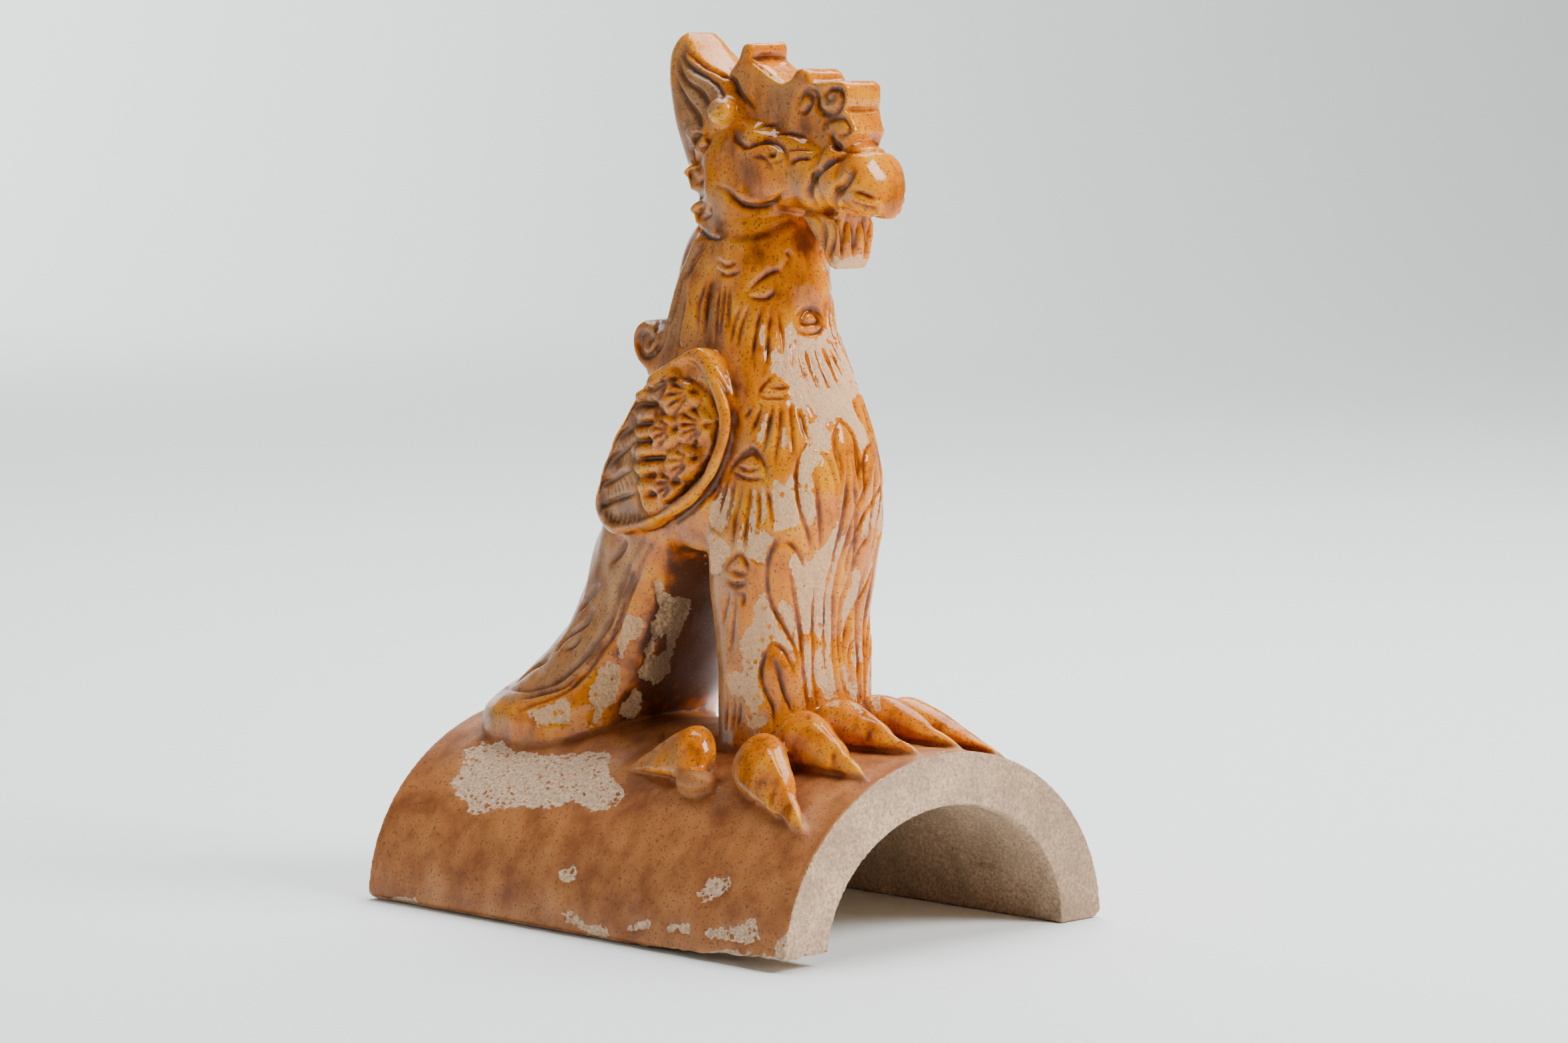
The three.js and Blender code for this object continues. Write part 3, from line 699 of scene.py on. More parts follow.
# The brow, the eye and the flames over it.
carve([
    [(1103, 196), (1106, 209), (1120, 220), (1135, 215), (1151, 211), (1163, 213), (1176, 224),
     (1182, 237), (1184, 248)],
    [(1074, 280), (1089, 285), (1102, 298), (1115, 307), (1133, 311), (1153, 310), (1166, 303),
     (1176, 290)],
], 1.7, 1.5)
carve([
    [(1131, 236), (1145, 236), (1153, 244), (1162, 257)], [(1158, 244), (1167, 243), (1176, 238)],
    [(1176, 225), (1199, 224), (1222, 225)], [(1135, 196), (1153, 188), (1168, 186)],
    [(1163, 204), (1184, 199), (1209, 205)],
], 0.95, 1.0)
pits([(1159, 232)], 1.7, 1.8)
carve([[(1076, 346), (1096, 354), (1124, 356), (1150, 350), (1176, 340), (1204, 328)]], 2.3, 0.9)
# The curls behind the cheek.
carve([
    [(1065, 201), (1048, 204), (1040, 219), (1041, 237), (1046, 244)],
    [(1061, 204), (1064, 216), (1055, 224), (1047, 222)],
    [(1051, 252), (1038, 255), (1034, 273), (1036, 290), (1048, 298), (1060, 293)],
    [(1056, 255), (1056, 270), (1046, 275)],
    [(1061, 306), (1050, 321), (1048, 339), (1061, 354), (1077, 359), (1094, 354)],
    [(1064, 308), (1066, 321), (1055, 329)],
], 1.2, 1.3)
# The folds, nostril and mouth of the beak, and the flutes of the beard.
carve([
    [(1266, 236), (1245, 244), (1230, 257), (1219, 275), (1216, 293), (1226, 310)],
    [(1284, 258), (1270, 275), (1258, 290), (1251, 303), (1256, 314)],
], 2.0, 2.3)
carve([
    [(1255, 313), (1278, 318), (1301, 325), (1316, 329), (1328, 327)],
], 1.5, 1.6)
carve([[(1281, 286), (1298, 293), (1318, 301)], [(1281, 306), (1300, 312), (1320, 313)]], 1.3, 1.4)
raise_beads([[(1284, 296), (1302, 303), (1322, 307)]], 2.1, 1.0, paired=False)
carve([
    [(1222, 322), (1232, 331), (1237, 349), (1237, 369), (1235, 385), (1242, 400)],
    [(1239, 317), (1249, 326), (1253, 344), (1251, 364), (1246, 382), (1251, 395)],
    [(1276, 321), (1273, 349), (1269, 377)], [(1293, 329), (1290, 357), (1286, 385)],
    [(1310, 331), (1306, 360), (1301, 390)],
], 1.2, 1.3)
# The mane lock and its volute.
carve([
    [(1059, 359), (1041, 387), (1028, 420)], [(1063, 363), (1048, 385), (1031, 420)],
    [(1044, 383), (1034, 400), (1024, 418), (1017, 444), (1008, 477), (1001, 490), (998, 513)],
    [(1031, 439), (1021, 490), (1019, 518), (1029, 523)],
    [(975, 487), (980, 474), (991, 472), (993, 482), (988, 495), (975, 502)],
    [(975, 523), (983, 502), (993, 492), (1001, 487)], [(973, 538), (983, 531), (996, 515)],
], 1.1, 1.2)
# The tufts of the neck and breast: a cap with two bands, and strands hanging below it.
carve([
    [(1075, 390), (1088, 399), (1105, 395)], [(1072, 403), (1088, 413), (1111, 408)],
    [(1121, 442), (1139, 423), (1156, 411), (1172, 407), (1178, 418)],
    [(1123, 446), (1139, 449), (1154, 448), (1164, 439)],
    [(1197, 482), (1205, 469), (1216, 464), (1228, 474), (1238, 490)],
    [(1200, 482), (1215, 487), (1228, 482)], [(1195, 490), (1210, 500), (1230, 500), (1238, 495)],
    [(1137, 595), (1148, 578), (1164, 564)], [(1150, 581), (1168, 583), (1186, 582)],
    [(1135, 595), (1154, 598), (1186, 598)],
    [(1094, 711), (1107, 691), (1122, 676), (1132, 674), (1142, 687), (1150, 703), (1154, 721)],
    [(1107, 695), (1122, 684), (1132, 682), (1142, 697)], [(1105, 699), (1122, 707), (1142, 703)],
    [(1101, 709), (1120, 719), (1152, 719)],
    [(1089, 857), (1096, 842), (1105, 834), (1115, 838), (1123, 853), (1121, 863)],
    [(1096, 857), (1108, 864), (1121, 861)], [(1089, 872), (1104, 880), (1119, 876)],
], 1.15, 1.2)
carve([
    [(1061, 422), (1048, 464), (1047, 497)], [(1070, 422), (1062, 464), (1056, 513)],
    [(1079, 426), (1076, 469), (1075, 515)], [(1088, 427), (1085, 464), (1082, 500)],
    [(1095, 428), (1094, 464), (1095, 495)],
    [(1113, 459), (1103, 482), (1098, 513)], [(1127, 457), (1113, 490), (1109, 518)],
    [(1144, 462), (1136, 502), (1130, 538)], [(1159, 467), (1155, 508), (1153, 548)],
    [(1172, 469), (1177, 508), (1179, 546)], [(1190, 508), (1192, 533), (1193, 555)],
    [(1202, 518), (1206, 543), (1215, 576)], [(1215, 515), (1225, 553), (1236, 594)],
    [(1227, 515), (1238, 553), (1250, 592)], [(1238, 513), (1251, 543), (1264, 578)],
    [(1246, 505), (1253, 518)], [(1253, 533), (1266, 559)],
    [(1128, 613), (1119, 629)], [(1144, 611), (1136, 631), (1130, 648)],
    [(1162, 609), (1154, 646), (1145, 682)], [(1174, 609), (1171, 648), (1164, 695)],
    [(1188, 609), (1190, 646), (1192, 682)], [(1202, 612), (1208, 638), (1213, 660)],
    [(1082, 729), (1071, 754)], [(1091, 727), (1081, 760), (1075, 776)],
    [(1103, 725), (1095, 760), (1088, 784)], [(1114, 729), (1105, 772), (1099, 823)],
    [(1128, 729), (1122, 774), (1118, 825)], [(1139, 733), (1140, 764), (1139, 793)],
    [(1151, 729), (1156, 754), (1160, 789)],
    [(1095, 891), (1087, 918), (1085, 935)], [(1105, 891), (1103, 926), (1096, 979)],
    [(1116, 891), (1117, 909)],
], 1.1, 1.1)
# The long leaves of the breast.
carve([
    [(1212, 668), (1203, 684), (1197, 707), (1198, 736), (1201, 756), (1209, 784), (1218, 811),
     (1220, 840)],
    [(1225, 707), (1229, 733), (1232, 764), (1235, 795), (1233, 823)],
    [(1236, 680), (1246, 689), (1254, 707), (1258, 727), (1259, 740)],
    [(1256, 658), (1257, 674), (1263, 699), (1267, 719), (1266, 736)],
    [(1260, 627), (1275, 640), (1285, 656), (1288, 674), (1291, 701), (1296, 733)],
    [(1275, 691), (1276, 715), (1274, 744), (1269, 774), (1263, 805), (1256, 836), (1251, 862),
     (1248, 880)],
    [(1172, 809), (1162, 823), (1155, 842), (1152, 862), (1151, 880)],
    [(1175, 814), (1191, 821), (1203, 836), (1208, 856)],
    [(1172, 813), (1159, 834), (1153, 859), (1153, 884), (1161, 912), (1174, 935), (1188, 958),
     (1197, 979), (1201, 1008)],
    [(1188, 861), (1195, 899), (1201, 931), (1205, 964), (1208, 1000), (1212, 1036), (1215, 1080)],
    [(1228, 865), (1226, 895), (1224, 926), (1224, 996), (1225, 1027), (1229, 1065)],
    [(1159, 966), (1151, 979), (1144, 1000), (1144, 1021), (1153, 1048), (1161, 1063),
     (1163, 1095)],
    [(1161, 966), (1178, 977), (1188, 994), (1195, 1013)],
    [(1165, 994), (1172, 1019), (1180, 1044), (1191, 1072)],
    [(1089, 1032), (1089, 1095)], [(1102, 1048), (1100, 1095)], [(1111, 1053), (1108, 1095)],
], 1.15, 1.2)
carve([
    [(1314, 663), (1305, 674), (1300, 693), (1299, 715)],
    [(1314, 663), (1324, 676), (1330, 695), (1330, 715), (1326, 736), (1316, 754), (1303, 772),
     (1291, 795), (1283, 817), (1275, 846), (1274, 868)],
    [(1310, 701), (1307, 719), (1299, 744), (1289, 768), (1279, 795), (1271, 823), (1262, 852),
     (1258, 880)],
    [(1285, 599), (1289, 615), (1299, 638)], [(1303, 629), (1309, 642), (1314, 653)],
    [(1320, 795), (1305, 809), (1293, 827), (1285, 850), (1281, 880)],
    [(1320, 795), (1323, 809), (1320, 836), (1313, 866)],
    [(1262, 800), (1256, 838), (1246, 876), (1242, 918), (1241, 960), (1243, 1000), (1246, 1032),
     (1247, 1057)],
    [(1277, 800), (1267, 834), (1259, 869), (1255, 905), (1254, 937), (1255, 979), (1258, 1021),
     (1263, 1059)],
    [(1288, 800), (1279, 827), (1273, 851), (1274, 868)],
    [(1298, 821), (1283, 846), (1275, 880), (1266, 901), (1263, 931), (1263, 964), (1265, 1000),
     (1271, 1032), (1281, 1067)],
    [(1321, 806), (1318, 838), (1308, 869), (1296, 895), (1281, 922), (1273, 947), (1271, 979),
     (1272, 1000)],
    [(1294, 951), (1283, 966), (1278, 983), (1279, 1002)],
    [(1294, 985), (1293, 1011), (1296, 1042), (1298, 1072)],
], 0.95, 1.0, paired=False)
# The wing's border, its shells with their flutes and eyes, and its feathers.
raise_beads([
    [(1030, 558), (1050, 563), (1068, 575), (1082, 594), (1090, 619), (1091, 642), (1086, 668),
     (1077, 695), (1064, 722), (1045, 744), (1022, 761), (996, 777), (973, 789), (948, 796),
     (922, 800)],
], 3.4, 0.8, power=3)
carve([
    [(1068, 556), (1086, 577), (1098, 603), (1104, 633), (1100, 662), (1091, 688), (1078, 719),
     (1065, 740), (1046, 760), (1024, 778), (1000, 793), (977, 802)],
], 1.8, 1.5)
carve([
    [(1032, 571), (1050, 578), (1066, 593), (1075, 611), (1079, 632), (1076, 656), (1070, 680),
     (1060, 704), (1046, 724), (1028, 741), (1010, 755), (988, 768), (962, 780)],
], 1.7, 1.9)
WING_EYES_AND_RIMS = [
    [(1044, 589), [(1015, 575), (1009, 594), (1013, 615), (1022, 627)]],
    [(1064, 638), [(1042, 608), (1030, 623), (1028, 642), (1034, 659), (1042, 669)]],
    [(1019, 644), [(996, 629), (988, 642), (990, 661), (999, 677)]],
    [(1045, 688), [(1019, 673), (1013, 690), (1017, 709), (1024, 717)]],
    [(1019, 723), [(998, 707), (992, 723), (996, 742), (1005, 751)]],
    [(1015, 571), [(992, 571), (991, 589), (996, 606)]],
]
SHELL_HALF_WIDTH, SHELL_HEIGHT = 6.2, 3.4
for eye, rim in WING_EYES_AND_RIMS:
    eye = np.array(eye, dtype=float)
    rim = through(rim, 4)
    middle = rim[len(rim) // 2]
    raise_beads([[tuple(eye * 0.55 + middle * 0.45), tuple(eye * 0.2 + middle * 0.8)]],
                SHELL_HALF_WIDTH, SHELL_HEIGHT, blunt=True, power=3)
    for end in rim[1::3]:
        carve([[tuple(eye * 0.8 + end * 0.2), tuple(end * 1.1 - eye * 0.1)]], 0.9, 1.5)
    pits([eye], 1.7, 1.7)
COVERTS = [
    [(961, 596), (992, 594)], [(958, 622), (992, 620)], [(954, 651), (987, 649)],
    [(953, 677), (1000, 675)], [(957, 704), (1000, 700)], [(963, 731), (994, 728)],
]
raise_beads(COVERTS, 2.5, 1.5, blunt=True)
carve([
    [(973, 584), (989, 583)], [(966, 609), (994, 606)], [(955, 638), (990, 635)],
    [(955, 664), (990, 661)], [(954, 692), (1004, 688)], [(960, 718), (994, 714)],
    [(966, 746), (994, 741)],
], 1.5, 2.2)
for (left, level), (right, _) in COVERTS:
    carve([[(x, level - 6), (x - 2, level + 5)] for x in range(left + 5, right - 2, 8)], 0.7, 0.7)
PRIMARIES = [
    [(967, 604), (948, 623), (936, 640), (926, 658)],
    [(955, 638), (936, 655), (921, 673), (911, 690)],
    [(955, 660), (938, 676), (919, 696), (904, 719)],
    [(950, 705), (925, 718), (908, 731), (899, 745)],
    [(957, 740), (929, 749), (904, 760), (896, 772)],
]
carve(PRIMARIES, 1.2, 1.7)
for upper, lower in zip(PRIMARIES, PRIMARIES[1:]):
    upper, lower = through(upper, 4), through(lower, 4)
    carve([[tuple(upper[k] * 0.85 + lower[k] * 0.15), tuple(upper[k] * 0.25 + lower[k] * 0.75 + (3, 0))]
           for k in range(1, 12)], 0.7, 0.75)
carve([[(957, 600), (950, 640), (957, 664), (948, 694), (956, 719), (957, 742), (963, 763), (977, 776)]],
      1.3, 1.6)
BARB_FIRST, BARB_STEP, BARBS = 912, 7, 8
carve([[(BARB_FIRST + BARB_STEP * k, 768), (BARB_FIRST - 4 + BARB_STEP * k, 788)]
       for k in range(BARBS)], 0.8, 0.9)
# The tail's feathers.
carve([
    [(986, 810), (970, 836), (957, 864), (944, 894), (936, 921), (923, 951), (901, 983),
     (877, 1014), (853, 1035), (825, 1049), (799, 1059), (780, 1068)],
    [(968, 810), (949, 840), (940, 864), (931, 890), (921, 921), (908, 949), (890, 973), (866, 999),
     (832, 1025), (803, 1035), (777, 1038), (760, 1033)],
    [(953, 853), (944, 881), (934, 908)], [(942, 812), (929, 832), (916, 847)],
    [(899, 879), (881, 901), (871, 918)], [(890, 916), (877, 938), (853, 955), (836, 977)],
    [(873, 949), (864, 966), (847, 977)], [(912, 957), (894, 979), (881, 996)],
    [(821, 992), (803, 1003), (777, 1025)], [(873, 1009), (847, 1029), (810, 1042), (782, 1049)],
], 1.5, 1.5)
# The cuts that part the claws from the toes.
carve([
    [(1160, 1189), (1157, 1200), (1158, 1213)], [(1254, 1127), (1250, 1142), (1249, 1158)],
    [(1306, 1096), (1304, 1116)], [(998, 1099), (994, 1123)],
], 1.5, 0.8)
# The crack that runs back inside the arch, and small nicks in its front face.
carve([
    [(1404, 1258), (1416, 1274), (1444, 1282), (1475, 1301), (1495, 1305), (1515, 1325),
     (1535, 1341)],
    [(1444, 1282), (1452, 1296), (1470, 1304)],
], 1.0, 1.5, paired=False, blunt=True)
pits([(1352, 1180), (1430, 1163), (1245, 1290), (1236, 1338), (1560, 1190), (1620, 1262), (1505, 1180),
      (1300, 1222), (1210, 1390)], 1.6, 0.9, paired=False)

# ---------------------------------------------------------------------------
# Glaze loss.
# Where the glaze and its slip have flaked off, the coarse clay shows a little
# lower. Each lost patch is outlined where the photograph shows it.
# ---------------------------------------------------------------------------

PIXEL_MM = 0.221
FLAKE_DEPTH = 0.4
FLAKE_EDGE = 0.8
LOST_PATCHES = [
    # the beard's broken end
    [(1238, 404), (1244, 390), (1258, 386), (1272, 390), (1286, 384), (1300, 384), (1312, 392),
     (1300, 404), (1270, 410)],
    # the breast
    [(1180, 490), (1194, 486), (1203, 500), (1214, 510), (1226, 506), (1238, 498), (1246, 484),
     (1246, 466), (1262, 480), (1276, 520), (1290, 556), (1302, 592), (1286, 592), (1288, 608),
     (1298, 636), (1310, 656), (1300, 672), (1297, 692), (1296, 716), (1290, 690), (1287, 664),
     (1277, 642), (1262, 630), (1254, 642), (1254, 664), (1258, 684), (1248, 676), (1236, 676),
     (1236, 690), (1228, 700), (1222, 712), (1226, 740), (1230, 770), (1222, 790), (1214, 800),
     (1208, 784), (1204, 790), (1190, 790), (1178, 797), (1166, 795), (1160, 782), (1160, 740),
     (1163, 722), (1172, 724), (1178, 734), (1182, 722), (1194, 712), (1197, 690), (1203, 672),
     (1213, 660), (1213, 640), (1208, 614), (1194, 608), (1184, 606), (1190, 592), (1186, 578),
     (1174, 566), (1160, 562), (1156, 546), (1160, 530), (1170, 522), (1176, 505)],
    [(1142, 490), (1152, 490), (1153, 510), (1146, 520), (1140, 508)],
    [(1150, 626), (1156, 622), (1156, 650), (1150, 662), (1141, 666), (1136, 655), (1142, 646)],
    [(1176, 636), (1182, 640), (1184, 668), (1178, 676), (1172, 664)],
    [(1066, 740), (1080, 733), (1100, 733), (1104, 760), (1092, 790), (1080, 800), (1066, 790)],
    [(1128, 733), (1136, 738), (1136, 790), (1124, 800), (1118, 830), (1106, 832), (1112, 800),
     (1122, 770)],
    [(1144, 733), (1153, 738), (1151, 780), (1142, 792), (1141, 760)],
    [(1330, 715), (1336, 730), (1336, 795), (1326, 800), (1316, 793), (1304, 800), (1294, 814),
     (1298, 790), (1306, 775), (1320, 755)],
    # the leaves and the legs
    [(1122, 792), (1134, 792), (1150, 800), (1166, 808), (1160, 818), (1152, 824), (1150, 842),
     (1138, 848), (1128, 842), (1118, 834), (1120, 812)],
    [(1062, 800), (1080, 812), (1098, 822), (1094, 836), (1086, 848), (1082, 862), (1066, 866),
     (1060, 840)],
    [(1195, 829), (1208, 832), (1216, 842), (1218, 838), (1230, 826), (1240, 824), (1248, 806),
     (1260, 786), (1272, 802), (1276, 826), (1264, 850), (1259, 872), (1256, 905), (1256, 979),
     (1260, 1021), (1265, 1059), (1240, 1060), (1236, 1040), (1228, 1032), (1222, 1028),
     (1218, 1050), (1212, 1060), (1206, 1040), (1202, 1012), (1196, 990), (1203, 978), (1202, 950),
     (1199, 918), (1190, 870), (1186, 845)],
    [(1170, 908), (1180, 904), (1190, 916), (1198, 922), (1203, 950), (1204, 985), (1199, 1000),
     (1190, 970), (1178, 945)],
    [(1144, 888), (1152, 892), (1160, 912), (1176, 938), (1190, 960), (1198, 984), (1198, 1002),
     (1190, 992), (1178, 976), (1162, 964), (1156, 972), (1148, 990), (1143, 1010), (1146, 1034),
     (1152, 1050), (1142, 1060), (1140, 1072), (1128, 1070), (1120, 1060), (1114, 1048),
     (1100, 1046), (1094, 1040), (1094, 1014), (1104, 1010), (1114, 1013), (1116, 982), (1111, 962),
     (1124, 946), (1132, 916)],
    [(1120, 1074), (1132, 1076), (1150, 1076), (1156, 1086), (1140, 1094), (1124, 1096)],
    [(1276, 862), (1290, 850), (1296, 868), (1292, 885), (1298, 890), (1290, 905), (1280, 922),
     (1272, 942), (1267, 925), (1270, 900), (1280, 880), (1272, 874)],
    [(1266, 940), (1272, 950), (1271, 985), (1276, 1010), (1284, 1030), (1290, 1022), (1286, 1000),
     (1280, 985), (1284, 968), (1294, 954), (1300, 985), (1294, 1005), (1294, 1062), (1284, 1066),
     (1274, 1040), (1266, 1005)],
    [(1310, 985), (1318, 1010), (1324, 1066), (1312, 1070), (1306, 1040)],
    # the tail
    [(929, 927), (938, 922), (950, 926), (962, 930), (968, 938), (964, 950), (958, 962), (946, 966),
     (940, 975), (936, 990), (928, 988), (926, 965), (930, 950), (926, 940)],
    [(901, 1003), (908, 995), (918, 992), (926, 1000), (934, 1002), (932, 1020), (928, 1035),
     (926, 1055), (914, 1062), (906, 1068), (906, 1080), (896, 1090), (884, 1098), (890, 1080),
     (898, 1066), (888, 1056), (884, 1046), (886, 1030), (896, 1024)],
    [(951, 1040), (956, 1036), (964, 1050), (962, 1066), (950, 1080), (938, 1082), (932, 1074),
     (936, 1060), (946, 1050)],
    [(836, 1050), (850, 1048), (856, 1056), (856, 1075), (853, 1092), (840, 1088), (825, 1088),
     (810, 1096), (804, 1082), (795, 1079), (793, 1068), (821, 1060), (832, 1062)],
    [(978, 875), (990, 872), (996, 888), (1010, 900), (1030, 900), (1040, 905), (1030, 940),
     (1020, 965), (1008, 990), (1010, 1010), (990, 1028), (975, 1025), (960, 1020), (957, 1010),
     (968, 1000), (972, 975), (980, 955), (978, 940), (990, 915), (985, 895)],
    # the tile's flank and foot
    [(699, 1126), (716, 1117), (751, 1115), (777, 1130), (803, 1132), (833, 1135), (872, 1130),
     (911, 1130), (920, 1137), (911, 1148), (918, 1165), (929, 1176), (941, 1193), (924, 1211),
     (907, 1217), (885, 1219), (872, 1206), (859, 1202), (838, 1213), (820, 1216), (786, 1211),
     (751, 1215), (710, 1224), (699, 1219), (701, 1208), (686, 1193), (675, 1176), (690, 1158),
     (697, 1143)],
    [(840, 1308), (859, 1299), (865, 1310), (864, 1321), (848, 1328), (842, 1321)],
    [(1046, 1341), (1059, 1332), (1063, 1321), (1096, 1317), (1098, 1328), (1089, 1341),
     (1076, 1349), (1054, 1356), (1050, 1349)],
    [(844, 1373), (859, 1369), (877, 1388), (907, 1393), (913, 1406), (894, 1412), (879, 1401),
     (864, 1388), (848, 1384)],
    [(939, 1393), (968, 1384), (976, 1382), (976, 1395), (959, 1399), (942, 1402)],
    [(1000, 1388), (1037, 1388), (1035, 1404), (1002, 1402)],
    [(1061, 1397), (1093, 1393), (1119, 1388), (1124, 1380), (1137, 1378), (1137, 1393),
     (1143, 1414), (1119, 1419), (1093, 1414), (1063, 1410)],
    [(586, 1354), (599, 1346), (625, 1354), (632, 1365), (595, 1360)],
]
# Islands of glaze left standing inside the lost patches.
KEPT_ISLANDS = [
    [(1210, 608), (1218, 608), (1222, 618), (1228, 624), (1226, 636), (1216, 636), (1213, 622)],
    [(1244, 634), (1250, 629), (1255, 630), (1254, 650), (1248, 652), (1243, 646)],
    [(1207, 952), (1220, 956), (1232, 960), (1240, 970), (1230, 978), (1222, 968), (1212, 968)],
    [(985, 965), (1000, 955), (1005, 975), (990, 990), (980, 985)],
]
# The glaze stops short of the tile's front end along this edge.
FRONT_END_PATCH = [
    (1163, 1419), (1193, 1397), (1199, 1380), (1203, 1349), (1206, 1317), (1218, 1293), (1238, 1266),
    (1254, 1242), (1286, 1210), (1301, 1187), (1333, 1167), (1357, 1155), (1388, 1143), (1416, 1131),
    (1467, 1135), (1515, 1151), (1720, 1200), (1720, 1500), (1160, 1500),
]


def inside_by(outline, u, v):
    """How far inside an outline each pixel lies; outside is negative."""
    outline = np.asarray(outline, dtype=float)
    nearest = np.full(len(u), 1e9)
    inside = np.zeros(len(u), dtype=bool)
    for (au, av), (bu, bv) in zip(outline, np.roll(outline, -1, axis=0)):
        du, dv = bu - au, bv - av
        share = np.clip(((u - au) * du + (v - av) * dv) / (du * du + dv * dv), 0, 1)
        nearest = np.minimum(nearest, np.hypot(u - au - share * du, v - av - share * dv))
        crosses = (av > v) != (bv > v)
        with np.errstate(divide="ignore", invalid="ignore"):
            inside ^= crosses & (u < au + (v - av) * du / dv)
    return np.where(inside, nearest, -nearest)


def seen_at(where):
    """The photograph's pixel of each point, in its own frame."""
    away = where - np.array(eye_mm)
    depth = away @ np.array(LOOK)
    return (PHOTO_WIDTH / 2 + FOCAL_PIXELS * (away @ np.array(LOOK_RIGHT)) / depth,
            PHOTO_HEIGHT / 2 - FOCAL_PIXELS * (away @ np.array(LOOK_UP)) / depth)


def in_sight(index):
    """Whether nothing stands between the camera and a point of the skin."""
    towards = Vector(places[index]) - eye_mm
    distance = towards.length
    met = skin_tree.ray_cast(eye_mm, towards / distance, distance + 5)
    return met[0] is not None and met[3] > distance - 1.5


def turned_to_camera(where, outward):
    """Whether the clay at each point faces the camera."""
    return np.einsum("ij,ij->i", outward, np.array(eye_mm) - where) > 0


# How far inside the bare clay each point lies, in millimetres: glaze is negative.
NEVER, DEEPEST_IN = -6.0, 4
OUTLINE_MARGIN = 20
bare = np.full(len(places), NEVER)
u, v = seen_at(places)
facing = turned_to_camera(places, normals)
for outline in LOST_PATCHES + [FRONT_END_PATCH]:
    box = np.asarray(outline)
    (left, top), (right, bottom) = box.min(axis=0) - OUTLINE_MARGIN, box.max(axis=0) + OUTLINE_MARGIN
    near = np.where(facing & (u > left) & (u < right) & (v > top) & (v < bottom))[0]
    depth_in = inside_by(outline, u[near], v[near]) * PIXEL_MM
    near, depth_in = near[depth_in > NEVER], depth_in[depth_in > NEVER]
    keep = np.array([in_sight(i) for i in near], dtype=bool)
    bare[near[keep]] = np.maximum(bare[near[keep]], np.clip(depth_in[keep], NEVER, DEEPEST_IN))
# The hidden side has lost glaze in the same places, a little less of it.
HIDDEN_SIDE_LESS = 2.2
HIDDEN_FROM_X = 6
MIRROR = np.array([-1, 1, 1])
mirror_u, mirror_v = seen_at(places * MIRROR)
mirror_facing = turned_to_camera(places * MIRROR, normals * MIRROR)
hidden = np.where(mirror_facing & ~facing & (places[:, 0] > HIDDEN_FROM_X))[0]
for outline in LOST_PATCHES:
    depth_in = inside_by(outline, mirror_u[hidden], mirror_v[hidden]) * PIXEL_MM - HIDDEN_SIDE_LESS
    bare[hidden] = np.maximum(bare[hidden], np.clip(depth_in, NEVER, DEEPEST_IN))
near = np.where(facing & (bare > 0))[0]
for outline in KEPT_ISLANDS:
    bare[near] = np.minimum(bare[near], -inside_by(outline, u[near], v[near]) * PIXEL_MM)
# Glaze clings in the cuts of the bird.
CLINGS_WITHIN, CLINGS_BY_CUT = 2.6, 4.2
bare = np.where(off_tile > 1, np.minimum(bare, CLINGS_WITHIN) - CLINGS_BY_CUT * cut, bare)
bare = np.maximum(bare, NEVER)

# The arch's inside, the two end faces and the feet were never glazed.
END_FACE_DEPTH, UNDERSIDE_HEIGHT = 0.7, 0.8
end_face = (np.abs(places[:, 1]) > TILE_LENGTH / 2 - END_FACE_DEPTH) & (off_tile < 1)
raw = (in_arch & (places[:, 2] < TILE_CROWN)) | end_face | (places[:, 2] < UNDERSIDE_HEIGHT)
flaked = np.clip(bare / FLAKE_EDGE + 0.5, 0, 1)
swell = HAND_UNEVENNESS * unevenness(places, seed=3, longest=26, shortest=9)
swell[np.abs(places[:, 1]) > TILE_LENGTH / 2 - 2] = 0
swell[places[:, 2] < 2] = 0
moved = places + normals * (rise - cut + swell - FLAKE_DEPTH * flaked - HAND_UNEVENNESS)[:, None]
moved = smoothed(moved, 1, strength=0.5)
# Bare clay is gritty: the sand in it stands out where nothing covers it.
GRIT_NEVER_GLAZED, GRIT_FLAKED = 0.09, 0.16
grit = smoothed(np.random.default_rng(21).normal(size=(len(places), 1)), 1, strength=0.4)[:, 0]
moved += normals * (grit * np.where(raw, GRIT_NEVER_GLAZED, GRIT_FLAKED * flaked))[:, None]
moved_normals = normals_of(moved)
broad = smoothed(moved, 24)
hollow = np.clip(np.einsum("ij,ij->i", broad - moved, moved_normals), -0.5, 1.3)
# The near foot is worn away underneath towards the front.
WORN_FROM_Y, WORN_OVER, WORN_DEEPEST, WORN_OUTSIDE_X = -15, 80, 5.0, -45
worn_to = WORN_DEEPEST * np.clip((WORN_FROM_Y - moved[:, 1]) / WORN_OVER, 0, 1)
worn_to += 0.5 * unevenness(moved, seed=8, longest=12, shortest=4)
worn = (moved[:, 0] < WORN_OUTSIDE_X) & (moved[:, 1] < WORN_FROM_Y) & (moved[:, 2] < worn_to)
moved[worn, 2] = worn_to[worn]
raw |= worn

# Painted shade where faces look into the gap between the legs and the tail: thick, brown, dull glaze.
GAP_MIDDLE, GAP_REACH = np.array([0, 8, TILE_CROWN + 28]), 50
into_gap = GAP_MIDDLE - moved
gap_away = np.linalg.norm(into_gap, axis=1)
sheltered = np.clip((np.einsum("ij,ij->i", into_gap, moved_normals) / gap_away - 0.05) / 0.4, 0, 1)
sheltered *= np.clip(2.5 - 2.5 * gap_away / GAP_REACH, 0, 1)
